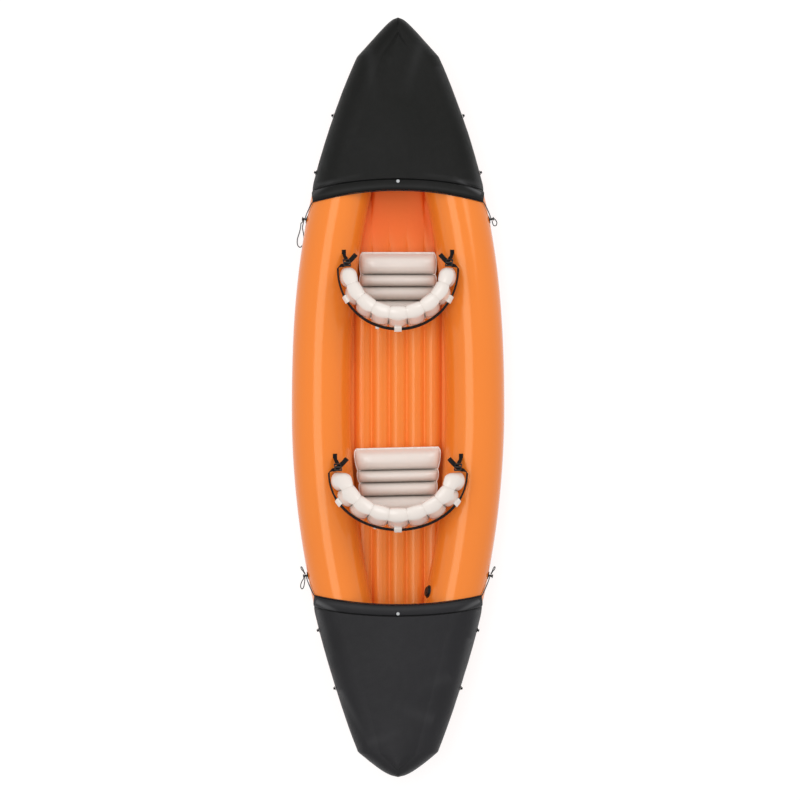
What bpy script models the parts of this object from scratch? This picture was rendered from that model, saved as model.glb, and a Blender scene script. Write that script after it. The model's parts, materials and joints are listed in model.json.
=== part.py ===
"""Two-seat inflatable canoe with covered ends and blow-up seats.

Metres, +Z up. +Y points to the bow, +X to starboard, and the origin is on the ground amidships,
under the middle of the hull. Every piece is worked out from the hull's plan and tube sections.
"""

import math

import bmesh
import bpy
from mathutils import Matrix, Vector
from mathutils.geometry import interpolate_bezier

# Hull plan and profile
TIP_Y = 1.6
HALF_BEAM = 0.4526
WIDEST_Y = -0.05
BOW_TAPER = 1.811
BOW_POWER = 2.43
STERN_TAPER = 1.822
STERN_POWER = 2.0
BOW_NOSE_SLOPE = 0.9
BOW_NOSE_ROUND = 0.034
STERN_NOSE_SLOPE = 1.15
STERN_NOSE_ROUND = 0.055
FLAT_BOTTOM = 0.75
BOW_RISE = 0.15
STERN_RISE = 0.13
ROCKER_POWER = 2.0

# Side tubes
TUBE_RADIUS = 0.126
TUBE_END_HALF_WIDTH = 0.075
TUBE_END_HALF_HEIGHT = 0.075
TUBE_SIDES = 24
HULL_STATIONS = 33
TUBE_GAP = 0.0006
NOSE_CUT = 0.0015

# Air floor
FLOOR_CHANNELS = 5
FLOOR_WEB = 0.0271
CHANNEL_STEPS = 5
FLOOR_UNDERSIDE = 0.012
FLOOR_WELD_Z = 0.064
FLOOR_CREST_Z = 0.09
FLOOR_END_Y = 1.25
FLOOR_SIDE_GAP = 0.0018

# Covers over bow and stern
COVER_GAP = 0.0018
COVER_CLOTH = 0.0025
BOW_RIM_Y = 0.8755
BOW_RIM_ARC = 0.045
STERN_RIM_Y = 0.8755
STERN_RIM_ARC = 0.0355
RIM_HALF_WIDTH = 0.36
COVER_CROWN = 0.014
CORNER_ANGLE = math.radians(28)
EDGE_ANGLE = math.radians(-8)
CORNER_RUN = 0.12
HEM_WIDTH = 0.046
HEM_HEIGHT = 0.007
HEM_ROWS = (0, 0.12, 0.35, 0.65, 0.88, 1.0, 1.7, 2.4)
HEM_CLEAR = 2.8
TIP_POWER = 6
COVER_COLUMNS = 19
DECK_COLUMNS = 2

# Rim cords, their anchors and the loops
CORD_RADIUS = 0.002
LOOP_STEP = 0.009
ANCHOR_SETBACK = 0.1185
ANCHOR_ANGLE = math.radians(4)
ANCHOR_PATCH_RADIUS = 0.017
ANCHOR_PATCH = 0.003
ANCHOR_PATCH_SLOPE = 0.003
ANCHOR_POST_RADIUS = 0.0045
ANCHOR_POST = 0.013
ANCHOR_HEAD_RADIUS = 0.009
ANCHOR_HEAD = 0.004
SEAT_GAP = 0.0004
RIM_CORD_STEPS = 6
LOOP_PIECES = 12

# Cover buttons and hem studs
BOW_BUTTON_SETBACKS = (0.0805, 0.3205)
STERN_BUTTON_SETBACKS = (0.1135, 0.3585)
BUTTON_ANGLE = math.radians(6)
BUTTON_BASE_RADIUS = 0.010
BUTTON_BASE = 0.002
BUTTON_RADIUS = 0.006
BUTTON_HEIGHT = 0.009
STUD_RADIUS = 0.007
STUD_HEIGHT = 0.0035
STUD_SETBACK = 0.036
STUD_LIFT = 0.0025

# Seats: cushion
CUSHION_CHANNELS = (0.091, 0.052, 0.058, 0.078)
CUSHION_WELD = 0.05
CUSHION_CREST = 0.083
CUSHION_SEAM_Z = 0.048
CUSHION_ROUND = 0.06
CUSHION_LIFT = 0.0008
CUSHION_COLUMNS = 10
CUSHION_ROWS = (0, 0.12, 0.35, 0.65, 0.88)
CUSHION_WAIST = 0.05
CUSHION_END_NARROWING = 0.06
CUSHION_TUCK = 0.3
CUSHION_UNDERSIDE = 1.3
FRONT_CUSHION_Y = 0.614
FRONT_CUSHION_ROOM = 0.0006
FRONT_CUSHION_TAPER = 0.0
REAR_CUSHION_Y = -0.217
REAR_CUSHION_ROOM = 0.0128
REAR_CUSHION_TAPER = 0.068
REAR_CUSHION_YAW = math.radians(1.3)

# Seats: backrest
BACK_CHANNELS = 9
BACK_STEPS = 4
BACK_ROWS = 3
BACK_THICKNESS = 0.062
BACK_WELD = 0.018
BACK_TOP_Z = 0.47
BACK_WING_TOP_Z = 0.375
BACK_CLEARANCE = 0.004
BACK_WIDEST = 0.42
BACK_LEAN = 0.044
BACK_LEAN_POWER = 1.4
BACK_TUBE_GAP = 0.01
BACK_CORNER = 0.72
BACK_CORNER_DROP = 0.3
BACK_CREASE_DIP = 0.35
FRONT_BACK_Y = 0.286
FRONT_BACK_DEPTH = 0.259
FRONT_SIDE_LEAN = 0.018
FRONT_WING_SETBACK = 0.049
REAR_BACK_Y = -0.5566
REAR_BACK_DEPTH = 0.24
REAR_SIDE_LEAN = 0.042
REAR_WING_SETBACK = 0.032

# Webbing, buckles and keepers
WEBBING_WIDTH = 0.020
WEBBING = 0.0018
TAB_WIDTH = 0.019
TAB_GAP = 0.0022
TAB_DROP = 0.022
TAB_WELD = 0.018
TAB_SPREAD = 0.010
STRAP_LEVEL = 0.57
STRAP_WING_LEVEL = 0.31
STRAP_GAP = 0.0012
STRAP_TILT = math.radians(25)
STRAP_STEPS = 30
TAIL_OFFSETS = (
    (0.009, 0.0105, -0.0015), (0.0255, 0.0155, -0.006), (0.043, 0.029, -0.018),
    (0.058, 0.044, -0.022), (0.072, 0.060, -0.025),
)
TAIL_TWIST = 2.4
KEEPER_CHANNELS = (1, 4, 7)
KEEPER_LENGTH = 0.027
KEEPER_WALL = 0.0016
KEEPER_MARGIN = 0.0012
BUCKLE_WIDTH = 0.032
BUCKLE_LENGTH = 0.034
BUCKLE_HEIGHT = 0.007
BUCKLE_OFFSET = (0.034, 0.023, -0.002)
BUCKLE_AHEAD = (-0.15, 0.86, -0.48)
BUCKLE_FACE = (0.30, 0.35, 0.88)
BUCKLE_EDGE = 0.00175
BUCKLE_WINDOW_WIDTH = 0.0256
BUCKLE_WINDOW_LENGTH = 0.00816
BUCKLE_WINDOW_OFFSET = 0.00782

# Valves
VALVE_RADIUS = 0.0275
VALVE_SIDES = 20
VALVE_POCKET = 0.014
VALVE_RIM = 0.004
VALVE_CAP_RADIUS = 0.021
VALVE_CAP_HEIGHT = 0.008
VALVE_FIT = 0.0006
VALVE_NECK_RADIUS = 0.0168
VALVE_EDGE = 0.0015
VALVE_SINK = 0.0035
TUBE_VALVE_ANGLE = math.radians(160)
STARBOARD_VALVE_Y = -0.824
PORT_VALVE_Y = 1.0
FLOOR_VALVE_Y = -0.955
STOPPER_RADIUS = 0.006
STOPPER_BRIM = 0.0025
STOPPER_TOP = 0.003
SEAT_VALVE_WALL = 0.002
SEAT_VALVE_BASE = 0.0027
SEAT_VALVE_RADIUS = 0.011
SEAT_VALVE_HEIGHT = 0.009
SEAT_VALVE_CHANNEL = 3
SEAT_VALVE_LEVEL = 0.2

# Fin base under the stern
FIN_BASE_Y = -1.0
FIN_BASE_LENGTH = 0.16
FIN_BASE_WIDTH = 0.07
FIN_BASE_HEIGHT = 0.014
FIN_BASE_CORNER = 0.02
FIN_SLOT_WIDTH = 0.012
FIN_SLOT_LENGTH = 0.12
FIN_SLOT_SHIFT = 0.032
FIN_SLOT_ROOF = 0.0056
SHARP_EDGE = math.radians(50)

COLOURS = {
    "hull_orange": ((0.91, 0.27, 0.05, 1), 0.38),
    "cover_black": ((0.035, 0.036, 0.038, 1), 0.5),
    "seat_white": ((0.80, 0.74, 0.69, 1), 0.42),
    "webbing_black": ((0.02, 0.02, 0.022, 1), 0.8),
    "cord_black": ((0.015, 0.015, 0.016, 1), 0.75),
    "plastic_black": ((0.02, 0.02, 0.02, 1), 0.35),
    "stud_grey": ((0.45, 0.46, 0.47, 1), 0.35),
}


def clear_scene():
    for thing in list(bpy.data.objects):
        bpy.data.objects.remove(thing, do_unlink=True)


def material(slot):
    found = bpy.data.materials.get(slot)
    if found:
        return found
    colour, roughness = COLOURS[slot]
    made = bpy.data.materials.new(slot)
    made.use_nodes = True
    shader = made.node_tree.nodes["Principled BSDF"]
    shader.inputs["Base Color"].default_value = colour
    shader.inputs["Roughness"].default_value = roughness
    made.diffuse_color = colour
    return made


def place(name, mesh, slot):
    thing = bpy.data.objects.new(name, mesh)
    mesh.materials.append(material(slot))
    bpy.context.collection.objects.link(thing)
    return thing


def guide(name, location):
    """An empty on a joint's axis, which the moving piece hangs from."""
    empty = bpy.data.objects.new(name, None)
    empty.location = location
    bpy.context.collection.objects.link(empty)
    bpy.context.view_layer.update()
    return empty


def hang_on(thing, parent):
    thing.parent = parent
    thing.matrix_parent_inverse = parent.matrix_world.inverted()


def finish_mesh(name, work, smooth=True):
    """Turns a bmesh into a mesh with its faces pointing out."""
    bmesh.ops.recalc_face_normals(work, faces=work.faces)
    if work.calc_volume(signed=True) < 0:
        bmesh.ops.reverse_faces(work, faces=work.faces)
    mesh = bpy.data.meshes.new(name)
    work.to_mesh(mesh)
    work.free()
    if smooth:
        mesh.shade_smooth()
        mesh.set_sharp_from_angle(angle=SHARP_EDGE)
    return mesh


def loft_mesh(name, rings, smooth=True):
    """Skins closed rings of equal length, and closes both ends with a face."""
    work = bmesh.new()
    rows = [[work.verts.new(point) for point in ring] for ring in rings]
    count = len(rings[0])
    for near, far in zip(rows, rows[1:]):
        for k in range(count):
            after = (k + 1) % count
            work.faces.new((near[k], near[after], far[after], far[k]))
    work.faces.new(rows[0])
    work.faces.new(rows[-1])
    return finish_mesh(name, work, smooth)


def turned_mesh(name, profile, steps=24, smooth=True):
    """Revolves a profile of (radius, height) points about +Z; both ends lie on the axis."""
    work = bmesh.new()
    line = [work.verts.new((radius, 0, height)) for radius, height in profile]
    for low, high in zip(line, line[1:]):
        work.edges.new((low, high))
    bmesh.ops.spin(
        work, geom=work.verts[:] + work.edges[:], cent=(0, 0, 0), axis=(0, 0, 1),
        angle=math.tau, steps=steps, use_merge=True,
    )
    bmesh.ops.remove_doubles(work, verts=work.verts[:], dist=1e-6)
    return finish_mesh(name, work, smooth)


def frame_at(point, normal, along):
    """A placement with +Z on the normal and +Y as near as can be to along."""
    up = Vector(normal).normalized()
    side = Vector(along).cross(up).normalized()
    front = up.cross(side)
    turn = Matrix((side, front, up)).transposed().to_4x4()
    return Matrix.Translation(point) @ turn


def boolean(thing, operation, other):
    """A live Boolean; the other object stays as a wire guide."""
    cut = thing.modifiers.new(operation.lower(), "BOOLEAN")
    cut.operation = operation
    cut.object = other
    cut.solver = "EXACT"
    other.hide_render = True
    other.display_type = "WIRE"


# Hull form


def half_breadth(y):
    """Half the beam at y: a power curve either side of the widest station, cut by a rounded nose."""
    if y >= WIDEST_Y:
        body = HALF_BEAM * (1 - ((y - WIDEST_Y) / BOW_TAPER) ** BOW_POWER)
        slope, roundness = BOW_NOSE_SLOPE, BOW_NOSE_ROUND
    else:
        body = HALF_BEAM * (1 - ((WIDEST_Y - y) / STERN_TAPER) ** STERN_POWER)
        slope, roundness = STERN_NOSE_SLOPE, STERN_NOSE_ROUND
    back = max(TIP_Y - abs(y), 0.0)
    nose = slope * math.sqrt(back * (back + 2 * roundness))
    return min(body, nose)


def end_share(y):
    """0 along the flat bottom, rising to 1 at either tip."""
    return max(abs(y) - FLAT_BOTTOM, 0.0) / (TIP_Y - FLAT_BOTTOM)


def rocker(y):
    """Height of the hull's underside above the ground."""
    rise = BOW_RISE if y > 0 else STERN_RISE
    return rise * end_share(y) ** ROCKER_POWER


def tube_section(y):
    """Centre x and z, half width and half height of the starboard tube at y."""
    share = end_share(y)
    wide = TUBE_RADIUS + (TUBE_END_HALF_WIDTH - TUBE_RADIUS) * share ** 3
    tall = TUBE_RADIUS + (TUBE_END_HALF_HEIGHT - TUBE_RADIUS) * share ** 2
    centre_z = rocker(y) + tall * math.cos(math.pi / TUBE_SIDES)
    return half_breadth(y) - wide, centre_z, wide, tall


def tube_point(y, angle, out=0.0):
    """A point on the starboard tube, at an angle up from its outer side, out from its skin."""
    x, z, wide, tall = tube_section(y)
    return Vector((
        x + (wide + out) * math.cos(angle), y, z + (tall + out) * math.sin(angle)
    ))


def tube_normal(y, angle):
    """The skin's outward direction, from two small steps along it."""
    step = 1e-4
    along = tube_point(y + step, angle) - tube_point(y - step, angle)
    around = tube_point(y, angle + step) - tube_point(y, angle - step)
    normal = around.cross(along).normalized()
    return normal if normal.dot((math.cos(angle), 0, math.sin(angle))) > 0 else -normal


def mirrored(vector, side):
    """The same place or direction on the port side where side is -1."""
    return Vector((side * vector.x, vector.y, vector.z))


def hull_stations():
    """Section places from stern to bow, closer together towards the tips."""
    last = TIP_Y - NOSE_CUT
    share = [2 * k / (HULL_STATIONS - 1) - 1 for k in range(HULL_STATIONS)]
    return [last * math.sin(math.pi / 2 * s) for s in share]


def tube_ring(y, side):
    """One tube section. Where the two tubes meet, both are flat against the middle plane."""
    x, z, wide, tall = tube_section(y)
    reach = math.acos(max(-1.0, min(1.0, (TUBE_GAP / 2 - x) / wide)))
    reach = min(reach, math.pi * (1 - 1 / TUBE_SIDES))
    angles = [reach * (2 * k / (TUBE_SIDES - 1) - 1) for k in range(TUBE_SIDES)]
    return [
        (side * (x + wide * math.cos(a)), y, z + tall * math.sin(a)) for a in angles
    ]


def side_tube(name, side):
    rings = [tube_ring(y, side) for y in hull_stations()]
    return place(name, loft_mesh(name, rings), "hull_orange")


# Air floor


def inner_x(y, height):
    """Where the tube's lower inner wall stands, at a height above the hull's underside."""
    x, z, wide, tall = tube_section(y)
    drop = min(1.0, abs(rocker(y) + height - z) / tall)
    return x - wide * math.sqrt(1 - drop * drop) - FLOOR_SIDE_GAP


def channel_pitch():
    """The channels share the floor's width at the widest station, inside a web each side."""
    return 2 * (inner_x(WIDEST_Y, FLOOR_WELD_Z) - FLOOR_WEB) / FLOOR_CHANNELS


def floor_stations():
    inner = [y for y in hull_stations() if abs(y) < FLOOR_END_Y - channel_pitch() / 2]
    return [-FLOOR_END_Y] + inner + [FLOOR_END_Y]


def mattress_profile():
    """The floor's cross-section: round channels side by side and a flat web each side."""
    points = []
    rise = FLOOR_CREST_Z - FLOOR_WELD_Z
    pitch = channel_pitch()
    width = FLOOR_CHANNELS * pitch
    for channel in range(FLOOR_CHANNELS):
        for step in range(CHANNEL_STEPS):
            share = step / CHANNEL_STEPS
            x = -width / 2 + pitch * (channel + share)
            points.append((x, FLOOR_WELD_Z + rise * math.sqrt(1 - (2 * share - 1) ** 2)))
    points.append((width / 2, FLOOR_WELD_Z))
    far = HALF_BEAM
    points += [(far, FLOOR_WELD_Z), (far, FLOOR_UNDERSIDE)]
    points += [(-far, FLOOR_UNDERSIDE), (-far, FLOOR_WELD_Z)]
    return points


def air_floor():
    """The channelled mattress, trimmed to the space between the two tubes."""
    profile = mattress_profile()
    stations = floor_stations()
    rings = [[(x, y, z + rocker(y)) for x, z in profile] for y in stations]
    floor = place("air_floor", loft_mesh("air_floor", rings), "hull_orange")
    low = FLOOR_UNDERSIDE - 0.005
    high = FLOOR_CREST_Z + 0.005
    steps = 7
    levels = [low + (high - low) * k / (steps - 1) for k in range(steps)]
    rings = []
    for y in stations:
        right = [(inner_x(y, level), y, level + rocker(y)) for level in levels]
        left = [(-x, y, z) for x, y, z in reversed(right)]
        rings.append(right + left)
    trim = place("floor_trim", loft_mesh("floor_trim", rings), "hull_orange")
    boolean(floor, "INTERSECT", trim)
    return floor


# Covers


def smooth_step(share):
    share = max(0.0, min(1.0, share))
    return share * share * (3 - 2 * share)


def cover_edge_angle(y):
    """How far round the tube the cover reaches: high at its corner, below the beam beyond it."""
    rim, arc = (BOW_RIM_Y, BOW_RIM_ARC) if y > 0 else (STERN_RIM_Y, STERN_RIM_ARC)
    share = smooth_step((abs(y) - (rim - arc)) / CORNER_RUN)
    return CORNER_ANGLE + (EDGE_ANGLE - CORNER_ANGLE) * share


def cover_point(y, across, out):
    """A point of the cover's cloth: a crowned deck between the tubes, then round a tube.

    across runs from -1 at the port edge to 1 at the starboard edge. A wide deck takes only its
    own few columns, so that the round of the tube gets the rest.
    """
    x, z, wide, tall = tube_section(y)
    deck = max(x, 0.0)
    start = math.acos(max(-x, 0.0) / (wide + out))
    end = max(cover_edge_angle(y), -0.5 * start)
    arc = wide * (start - end)
    deck_share = min(DECK_COLUMNS / (COVER_COLUMNS // 2), deck / (deck + arc))
    side = 1 if across >= 0 else -1
    if abs(across) < deck_share:
        share = abs(across) / deck_share
        return side * deck * share, z + tall + out + COVER_CROWN * (1 - share ** 2)
    angle = start - (start - end) * (abs(across) - deck_share) / (1 - deck_share)
    lift = (tall + out) * math.sin(angle)
    return side * (x + (wide + out) * math.cos(angle)), z + lift


def rim_y(across, bow):
    """The rim's distance from amidships: an arc, nearest the seats at its corners."""
    far, arc = (BOW_RIM_Y, BOW_RIM_ARC) if bow else (STERN_RIM_Y, STERN_RIM_ARC)
    sign = 1 if bow else -1
    x, _ = cover_point(sign * far, across, 0.0)
    return sign * (far - arc * (x / RIM_HALF_WIDTH) ** 2)


def hem_lift(back):
    """The rolled hem stands proud of the cloth and ends in a crease."""
    share = back / HEM_WIDTH
    if share >= 1:
        return 0.0
    return HEM_HEIGHT * math.sqrt(max(0.0, 1 - (2 * share - 1) ** 2))


def cover_rows(bow):
    """Rows of the cover from rim to tip, each with its y and its distance behind the rim."""
    sign = 1 if bow else -1
    columns = [2 * k / (COVER_COLUMNS - 1) - 1 for k in range(COVER_COLUMNS)]
    rim = [rim_y(across, bow) for across in columns]
    backs = [share * HEM_WIDTH for share in HEM_ROWS]
    rows = [[(y + sign * back, back) for y in rim] for back in backs]
    clear = max(abs(y) for y in rim) + HEM_WIDTH * HEM_CLEAR
    stations = sorted((abs(y) for y in hull_stations() if sign * y > clear))
    rows += [[(sign * y, HEM_WIDTH)] * COVER_COLUMNS for y in stations]
    return columns, rows


def cover_surface(bow, out, hem):
    """Points of one face of the cover's cloth, offset from the tubes by out."""
    sign = 1 if bow else -1
    columns, rows = cover_rows(bow)
    surface = []
    for row in rows:
        line = []
        for across, (y, back) in zip(columns, row):
            x, z = cover_point(y, across, out + (hem_lift(back) if hem else 0.0))
            tip_share = max(0.0, 1 - (TIP_Y - abs(y)) / (TIP_Y - BOW_RIM_Y)) ** TIP_POWER
            line.append((x, y + sign * out * tip_share, z))
        surface.append(line)
    return surface


def end_cover(name, bow):
    """Cloth of even thickness over both tubes, open at the rim and closed round the tip."""
    work = bmesh.new()
    shells = [
        [[work.verts.new(point) for point in line] for line in surface]
        for surface in (
            cover_surface(bow, COVER_GAP + COVER_CLOTH, True),
            cover_surface(bow, COVER_GAP, False),
        )
    ]
    outer, inner = shells
    middle = COVER_COLUMNS // 2
    for rows in shells:
        for near, far in zip(rows, rows[1:]):
            for k in range(COVER_COLUMNS - 1):
                a, b, c, d = near[k], near[k + 1], far[k + 1], far[k]
                halves = ((a, b, c), (a, c, d)) if k < middle else ((a, b, d), (b, c, d))
                for half in halves:
                    work.faces.new(half)
    for k in range(COVER_COLUMNS - 1):
        work.faces.new((outer[0][k], outer[0][k + 1], inner[0][k + 1], inner[0][k]))
    for edge in (0, -1):
        for row in range(len(outer) - 1):
            work.faces.new((
                outer[row][edge], outer[row + 1][edge], inner[row + 1][edge], inner[row][edge]
            ))
    work.faces.new(outer[-1])
    work.faces.new(inner[-1])
    work.faces.new((outer[-1][0], outer[-1][-1], inner[-1][-1], inner[-1][0]))
    return place(name, finish_mesh(name, work), "cover_black")


# Cords


def smooth_route(points, per_leg):
    """A Catmull-Rom curve through the points, with per_leg pieces between each two."""
    points = [Vector(point) for point in points]
    route = []
    last = len(points) - 1
    for k in range(last):
        before = points[max(k - 1, 0)]
        after = points[min(k + 2, last)]
        near, far = points[k], points[k + 1]
        leave = near + (far - before) / 6
        arrive = far - (after - near) / 6
        leg = interpolate_bezier(near, leave, arrive, far, per_leg + 1)
        route += leg if k == 0 else leg[1:]
    return route


def even_route(route, spacing):
    """The same route, with its points about one spacing apart."""
    walked = [0.0]
    for near, far in zip(route, route[1:]):
        walked.append(walked[-1] + (far - near).length)
    pieces = max(2, round(walked[-1] / spacing))
    points = []
    leg = 0
    for k in range(pieces + 1):
        want = walked[-1] * k / pieces
        while leg < len(route) - 2 and walked[leg + 1] < want:
            leg += 1
        share = (want - walked[leg]) / (walked[leg + 1] - walked[leg])
        points.append(route[leg].lerp(route[leg + 1], min(share, 1.0)))
    return points


def cord(name, route):
    """A round cord along a poly line, with flat ends."""
    curve = bpy.data.curves.new(name, "CURVE")
    curve.dimensions = "3D"
    curve.bevel_depth = CORD_RADIUS
    curve.bevel_resolution = 2
    curve.use_fill_caps = True
    line = curve.splines.new("POLY")
    line.points.add(len(route) - 1)
    for spot, point in zip(line.points, route):
        spot.co = (*point, 1)
    return place(name, curve, "cord_black")


def anchor_y(bow):
    """An anchor's distance from amidships, a setback short of its cover's rim."""
    return (BOW_RIM_Y if bow else STERN_RIM_Y) - ANCHOR_SETBACK


def anchor_place(bow, side):
    y = anchor_y(bow) if bow else -anchor_y(bow)
    point = tube_point(y, ANCHOR_ANGLE)
    normal = tube_normal(y, ANCHOR_ANGLE)
    return mirrored(point, side), mirrored(normal, side)


def cord_anchor(name, bow, side):
    """A button on a welded patch, that the cords are tied round."""
    post_top = ANCHOR_PATCH + ANCHOR_POST
    profile = (
        (0, 0),
        (ANCHOR_PATCH_RADIUS, 0),
        (ANCHOR_PATCH_RADIUS - ANCHOR_PATCH_SLOPE, ANCHOR_PATCH),
        (ANCHOR_POST_RADIUS, ANCHOR_PATCH),
        (ANCHOR_POST_RADIUS, post_top),
        (ANCHOR_HEAD_RADIUS, post_top),
        (ANCHOR_HEAD_RADIUS, post_top + ANCHOR_HEAD / 2),
        (ANCHOR_HEAD_RADIUS / 2, post_top + ANCHOR_HEAD),
        (0, post_top + ANCHOR_HEAD),
    )
    point, normal = anchor_place(bow, side)
    anchor = place(name, turned_mesh(name, profile, 12), "plastic_black")
    anchor.matrix_world = frame_at(point + normal * SEAT_GAP, normal, (0, 1, 0))


def rim_cord(name, bow):
    """From an anchor, along the hull, round the rim of the cover and down to the other anchor."""
    sign = 1 if bow else -1
    lead = CORD_RADIUS + SEAT_GAP
    half = []
    columns = COVER_COLUMNS // 2
    for k in range(columns + 1):
        across = k / columns
        y = rim_y(across, bow) - sign * lead
        x, z = cover_point(y, across, COVER_GAP + CORD_RADIUS)
        half.append((x, y, z))
    corner_y = abs(half[-1][1])
    stop = anchor_y(bow) + ANCHOR_POST_RADIUS + CORD_RADIUS + SEAT_GAP
    rise = COVER_GAP + CORD_RADIUS
    high = ANCHOR_PATCH + 2 * CORD_RADIUS + SEAT_GAP
    for k in range(1, RIM_CORD_STEPS + 1):
        share = k / RIM_CORD_STEPS
        y = corner_y + (stop - corner_y) * share
        angle = CORNER_ANGLE + (ANCHOR_ANGLE - CORNER_ANGLE) * share
        half.append(tube_point(sign * y, angle, rise + (high - rise) * share ** 2))
    other = [(-x, y, z) for x, y, z in reversed(half[1:])]
    return cord(name, [Vector(point) for point in other] + [Vector(point) for point in half])


def loop_end(bow, side, around):
    """Two points beside an anchor's post, the second clear of its head.

    around turns about the post, from straight up towards the bow.
    """
    point, normal = anchor_place(bow, side)
    up = (Vector((0, 0, 1)) - normal * normal.z).normalized()
    along = Vector((0, 1, 0))
    arm = up * math.cos(around) + along * math.sin(around)
    rise = ANCHOR_PATCH + ANCHOR_POST - CORD_RADIUS * 2
    near = ANCHOR_POST_RADIUS + CORD_RADIUS + SEAT_GAP
    clear = ANCHOR_HEAD_RADIUS + CORD_RADIUS * 1.5
    return point + normal * rise + arm * near, point + normal * rise + arm * clear


# Each loop's own points: metres outboard of its anchor's head, along the hull and up.
# It leaves the anchor's post and comes back to it.
LONG_LOOP = (
    (0.004, -0.014, -0.028), (0.009, -0.016, -0.050), (0.011, -0.020, -0.082),
    (0.013, -0.031, -0.110), (0.018, -0.052, -0.1235), (0.027, -0.082, -0.1235),
    (0.026, -0.106, -0.1235), (0.015, -0.116, -0.1235), (0.004, -0.104, -0.1235),
    (0.000, -0.082, -0.1225), (0.000, -0.062, -0.108), (0.002, -0.047, -0.080),
    (0.003, -0.036, -0.050), (0.001, -0.026, -0.024),
)
SMALL_LOOP = (
    (0.003, 0.003, -0.021), (0.011, -0.003, -0.031), (0.017, -0.014, -0.037),
    (0.014, -0.026, -0.036), (0.005, -0.028, -0.029), (0.000, -0.022, -0.018),
)
DROP_LOOP = (
    (0.004, -0.014, -0.026), (0.010, -0.024, -0.038), (0.015, -0.038, -0.049),
    (0.015, -0.051, -0.055), (0.009, -0.057, -0.055), (0.003, -0.049, -0.048),
    (0.000, -0.037, -0.033), (-0.002, -0.026, -0.017),
)
FOLDED_END = (
    (0.001, 0.020, 0.000), (0.005, 0.031, -0.002), (0.010, 0.039, -0.006),
    (0.0135, 0.038, -0.011), (0.0115, 0.029, -0.015), (0.0045, 0.021, -0.013),
)


def hanging_loop(name, bow, side, offsets, leaves, returns):
    """A loop of cord from the anchor's post, out past its head and back under it."""
    point, normal = anchor_place(bow, side)
    head = point + normal * (ANCHOR_PATCH + ANCHOR_POST)
    middle = [head + mirrored(Vector(offset), side) for offset in offsets]
    start, start_clear = loop_end(bow, side, math.radians(leaves))
    stop, stop_clear = loop_end(bow, side, math.radians(returns))
    route = smooth_route([start, start_clear] + middle + [stop_clear, stop], LOOP_PIECES)
    return cord(name, even_route(route, LOOP_STEP))


# Cover buttons and studs


def cover_button(name, y, side):
    """A toggle that stands out of the cover's edge."""
    profile = (
        (0, 0),
        (BUTTON_BASE_RADIUS, 0),
        (BUTTON_BASE_RADIUS, BUTTON_BASE),
        (BUTTON_RADIUS * 0.8, BUTTON_BASE * 1.5),
        (BUTTON_RADIUS, BUTTON_HEIGHT * 0.7),
        (BUTTON_RADIUS * 0.6, BUTTON_HEIGHT),
        (0, BUTTON_HEIGHT),
    )
    out = COVER_GAP + COVER_CLOTH + 2 * SEAT_GAP
    point = mirrored(tube_point(y, BUTTON_ANGLE, out), side)
    normal = mirrored(tube_normal(y, BUTTON_ANGLE), side)
    button = place(name, turned_mesh(name, profile, 8), "plastic_black")
    button.matrix_world = frame_at(point, normal, (0, 1, 0))


def hem_stud(name, bow):
    """A small domed stud on the hem's middle."""
    profile = (
        (0, 0),
        (STUD_RADIUS, 0),
        (STUD_RADIUS, STUD_HEIGHT * 0.5),
        (STUD_RADIUS * 0.6, STUD_HEIGHT),
        (0, STUD_HEIGHT),
    )
    sign = 1 if bow else -1
    far = rim_y(0.0, bow)
    places = []
    for share in (-1, 0, 1):
        back = STUD_SETBACK + share * STUD_RADIUS
        y = far + sign * back
        _, z = cover_point(y, 0.0, COVER_GAP + COVER_CLOTH + hem_lift(back))
        places.append(Vector((0, y, z)))
    fore, centre, aft = places
    normal = Vector((1, 0, 0)).cross(aft - fore).normalized() * sign
    stud = place(name, turned_mesh(name, profile, 16), "stud_grey")
    stud.matrix_world = frame_at(centre + normal * STUD_LIFT, normal, (0, 1, 0))


# Seats


def cushion_rows():
    """Distances aft of the cushion's front edge, with the thickness there as a share."""
    rows = []
    start = 0.0
    for length in CUSHION_CHANNELS:
        for share in CUSHION_ROWS:
            rows.append((start + share * length, math.sqrt(1 - (2 * share - 1) ** 2)))
        start += length
    rows.append((start, 0.0))
    return rows


def cushion_widths(front_y, room, taper):
    """Front and rear widths, from the space between the tubes where the cushion begins."""
    x, _, wide, _ = tube_section(front_y)
    front = 2 * (x - wide - room)
    return front, front - taper


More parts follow.
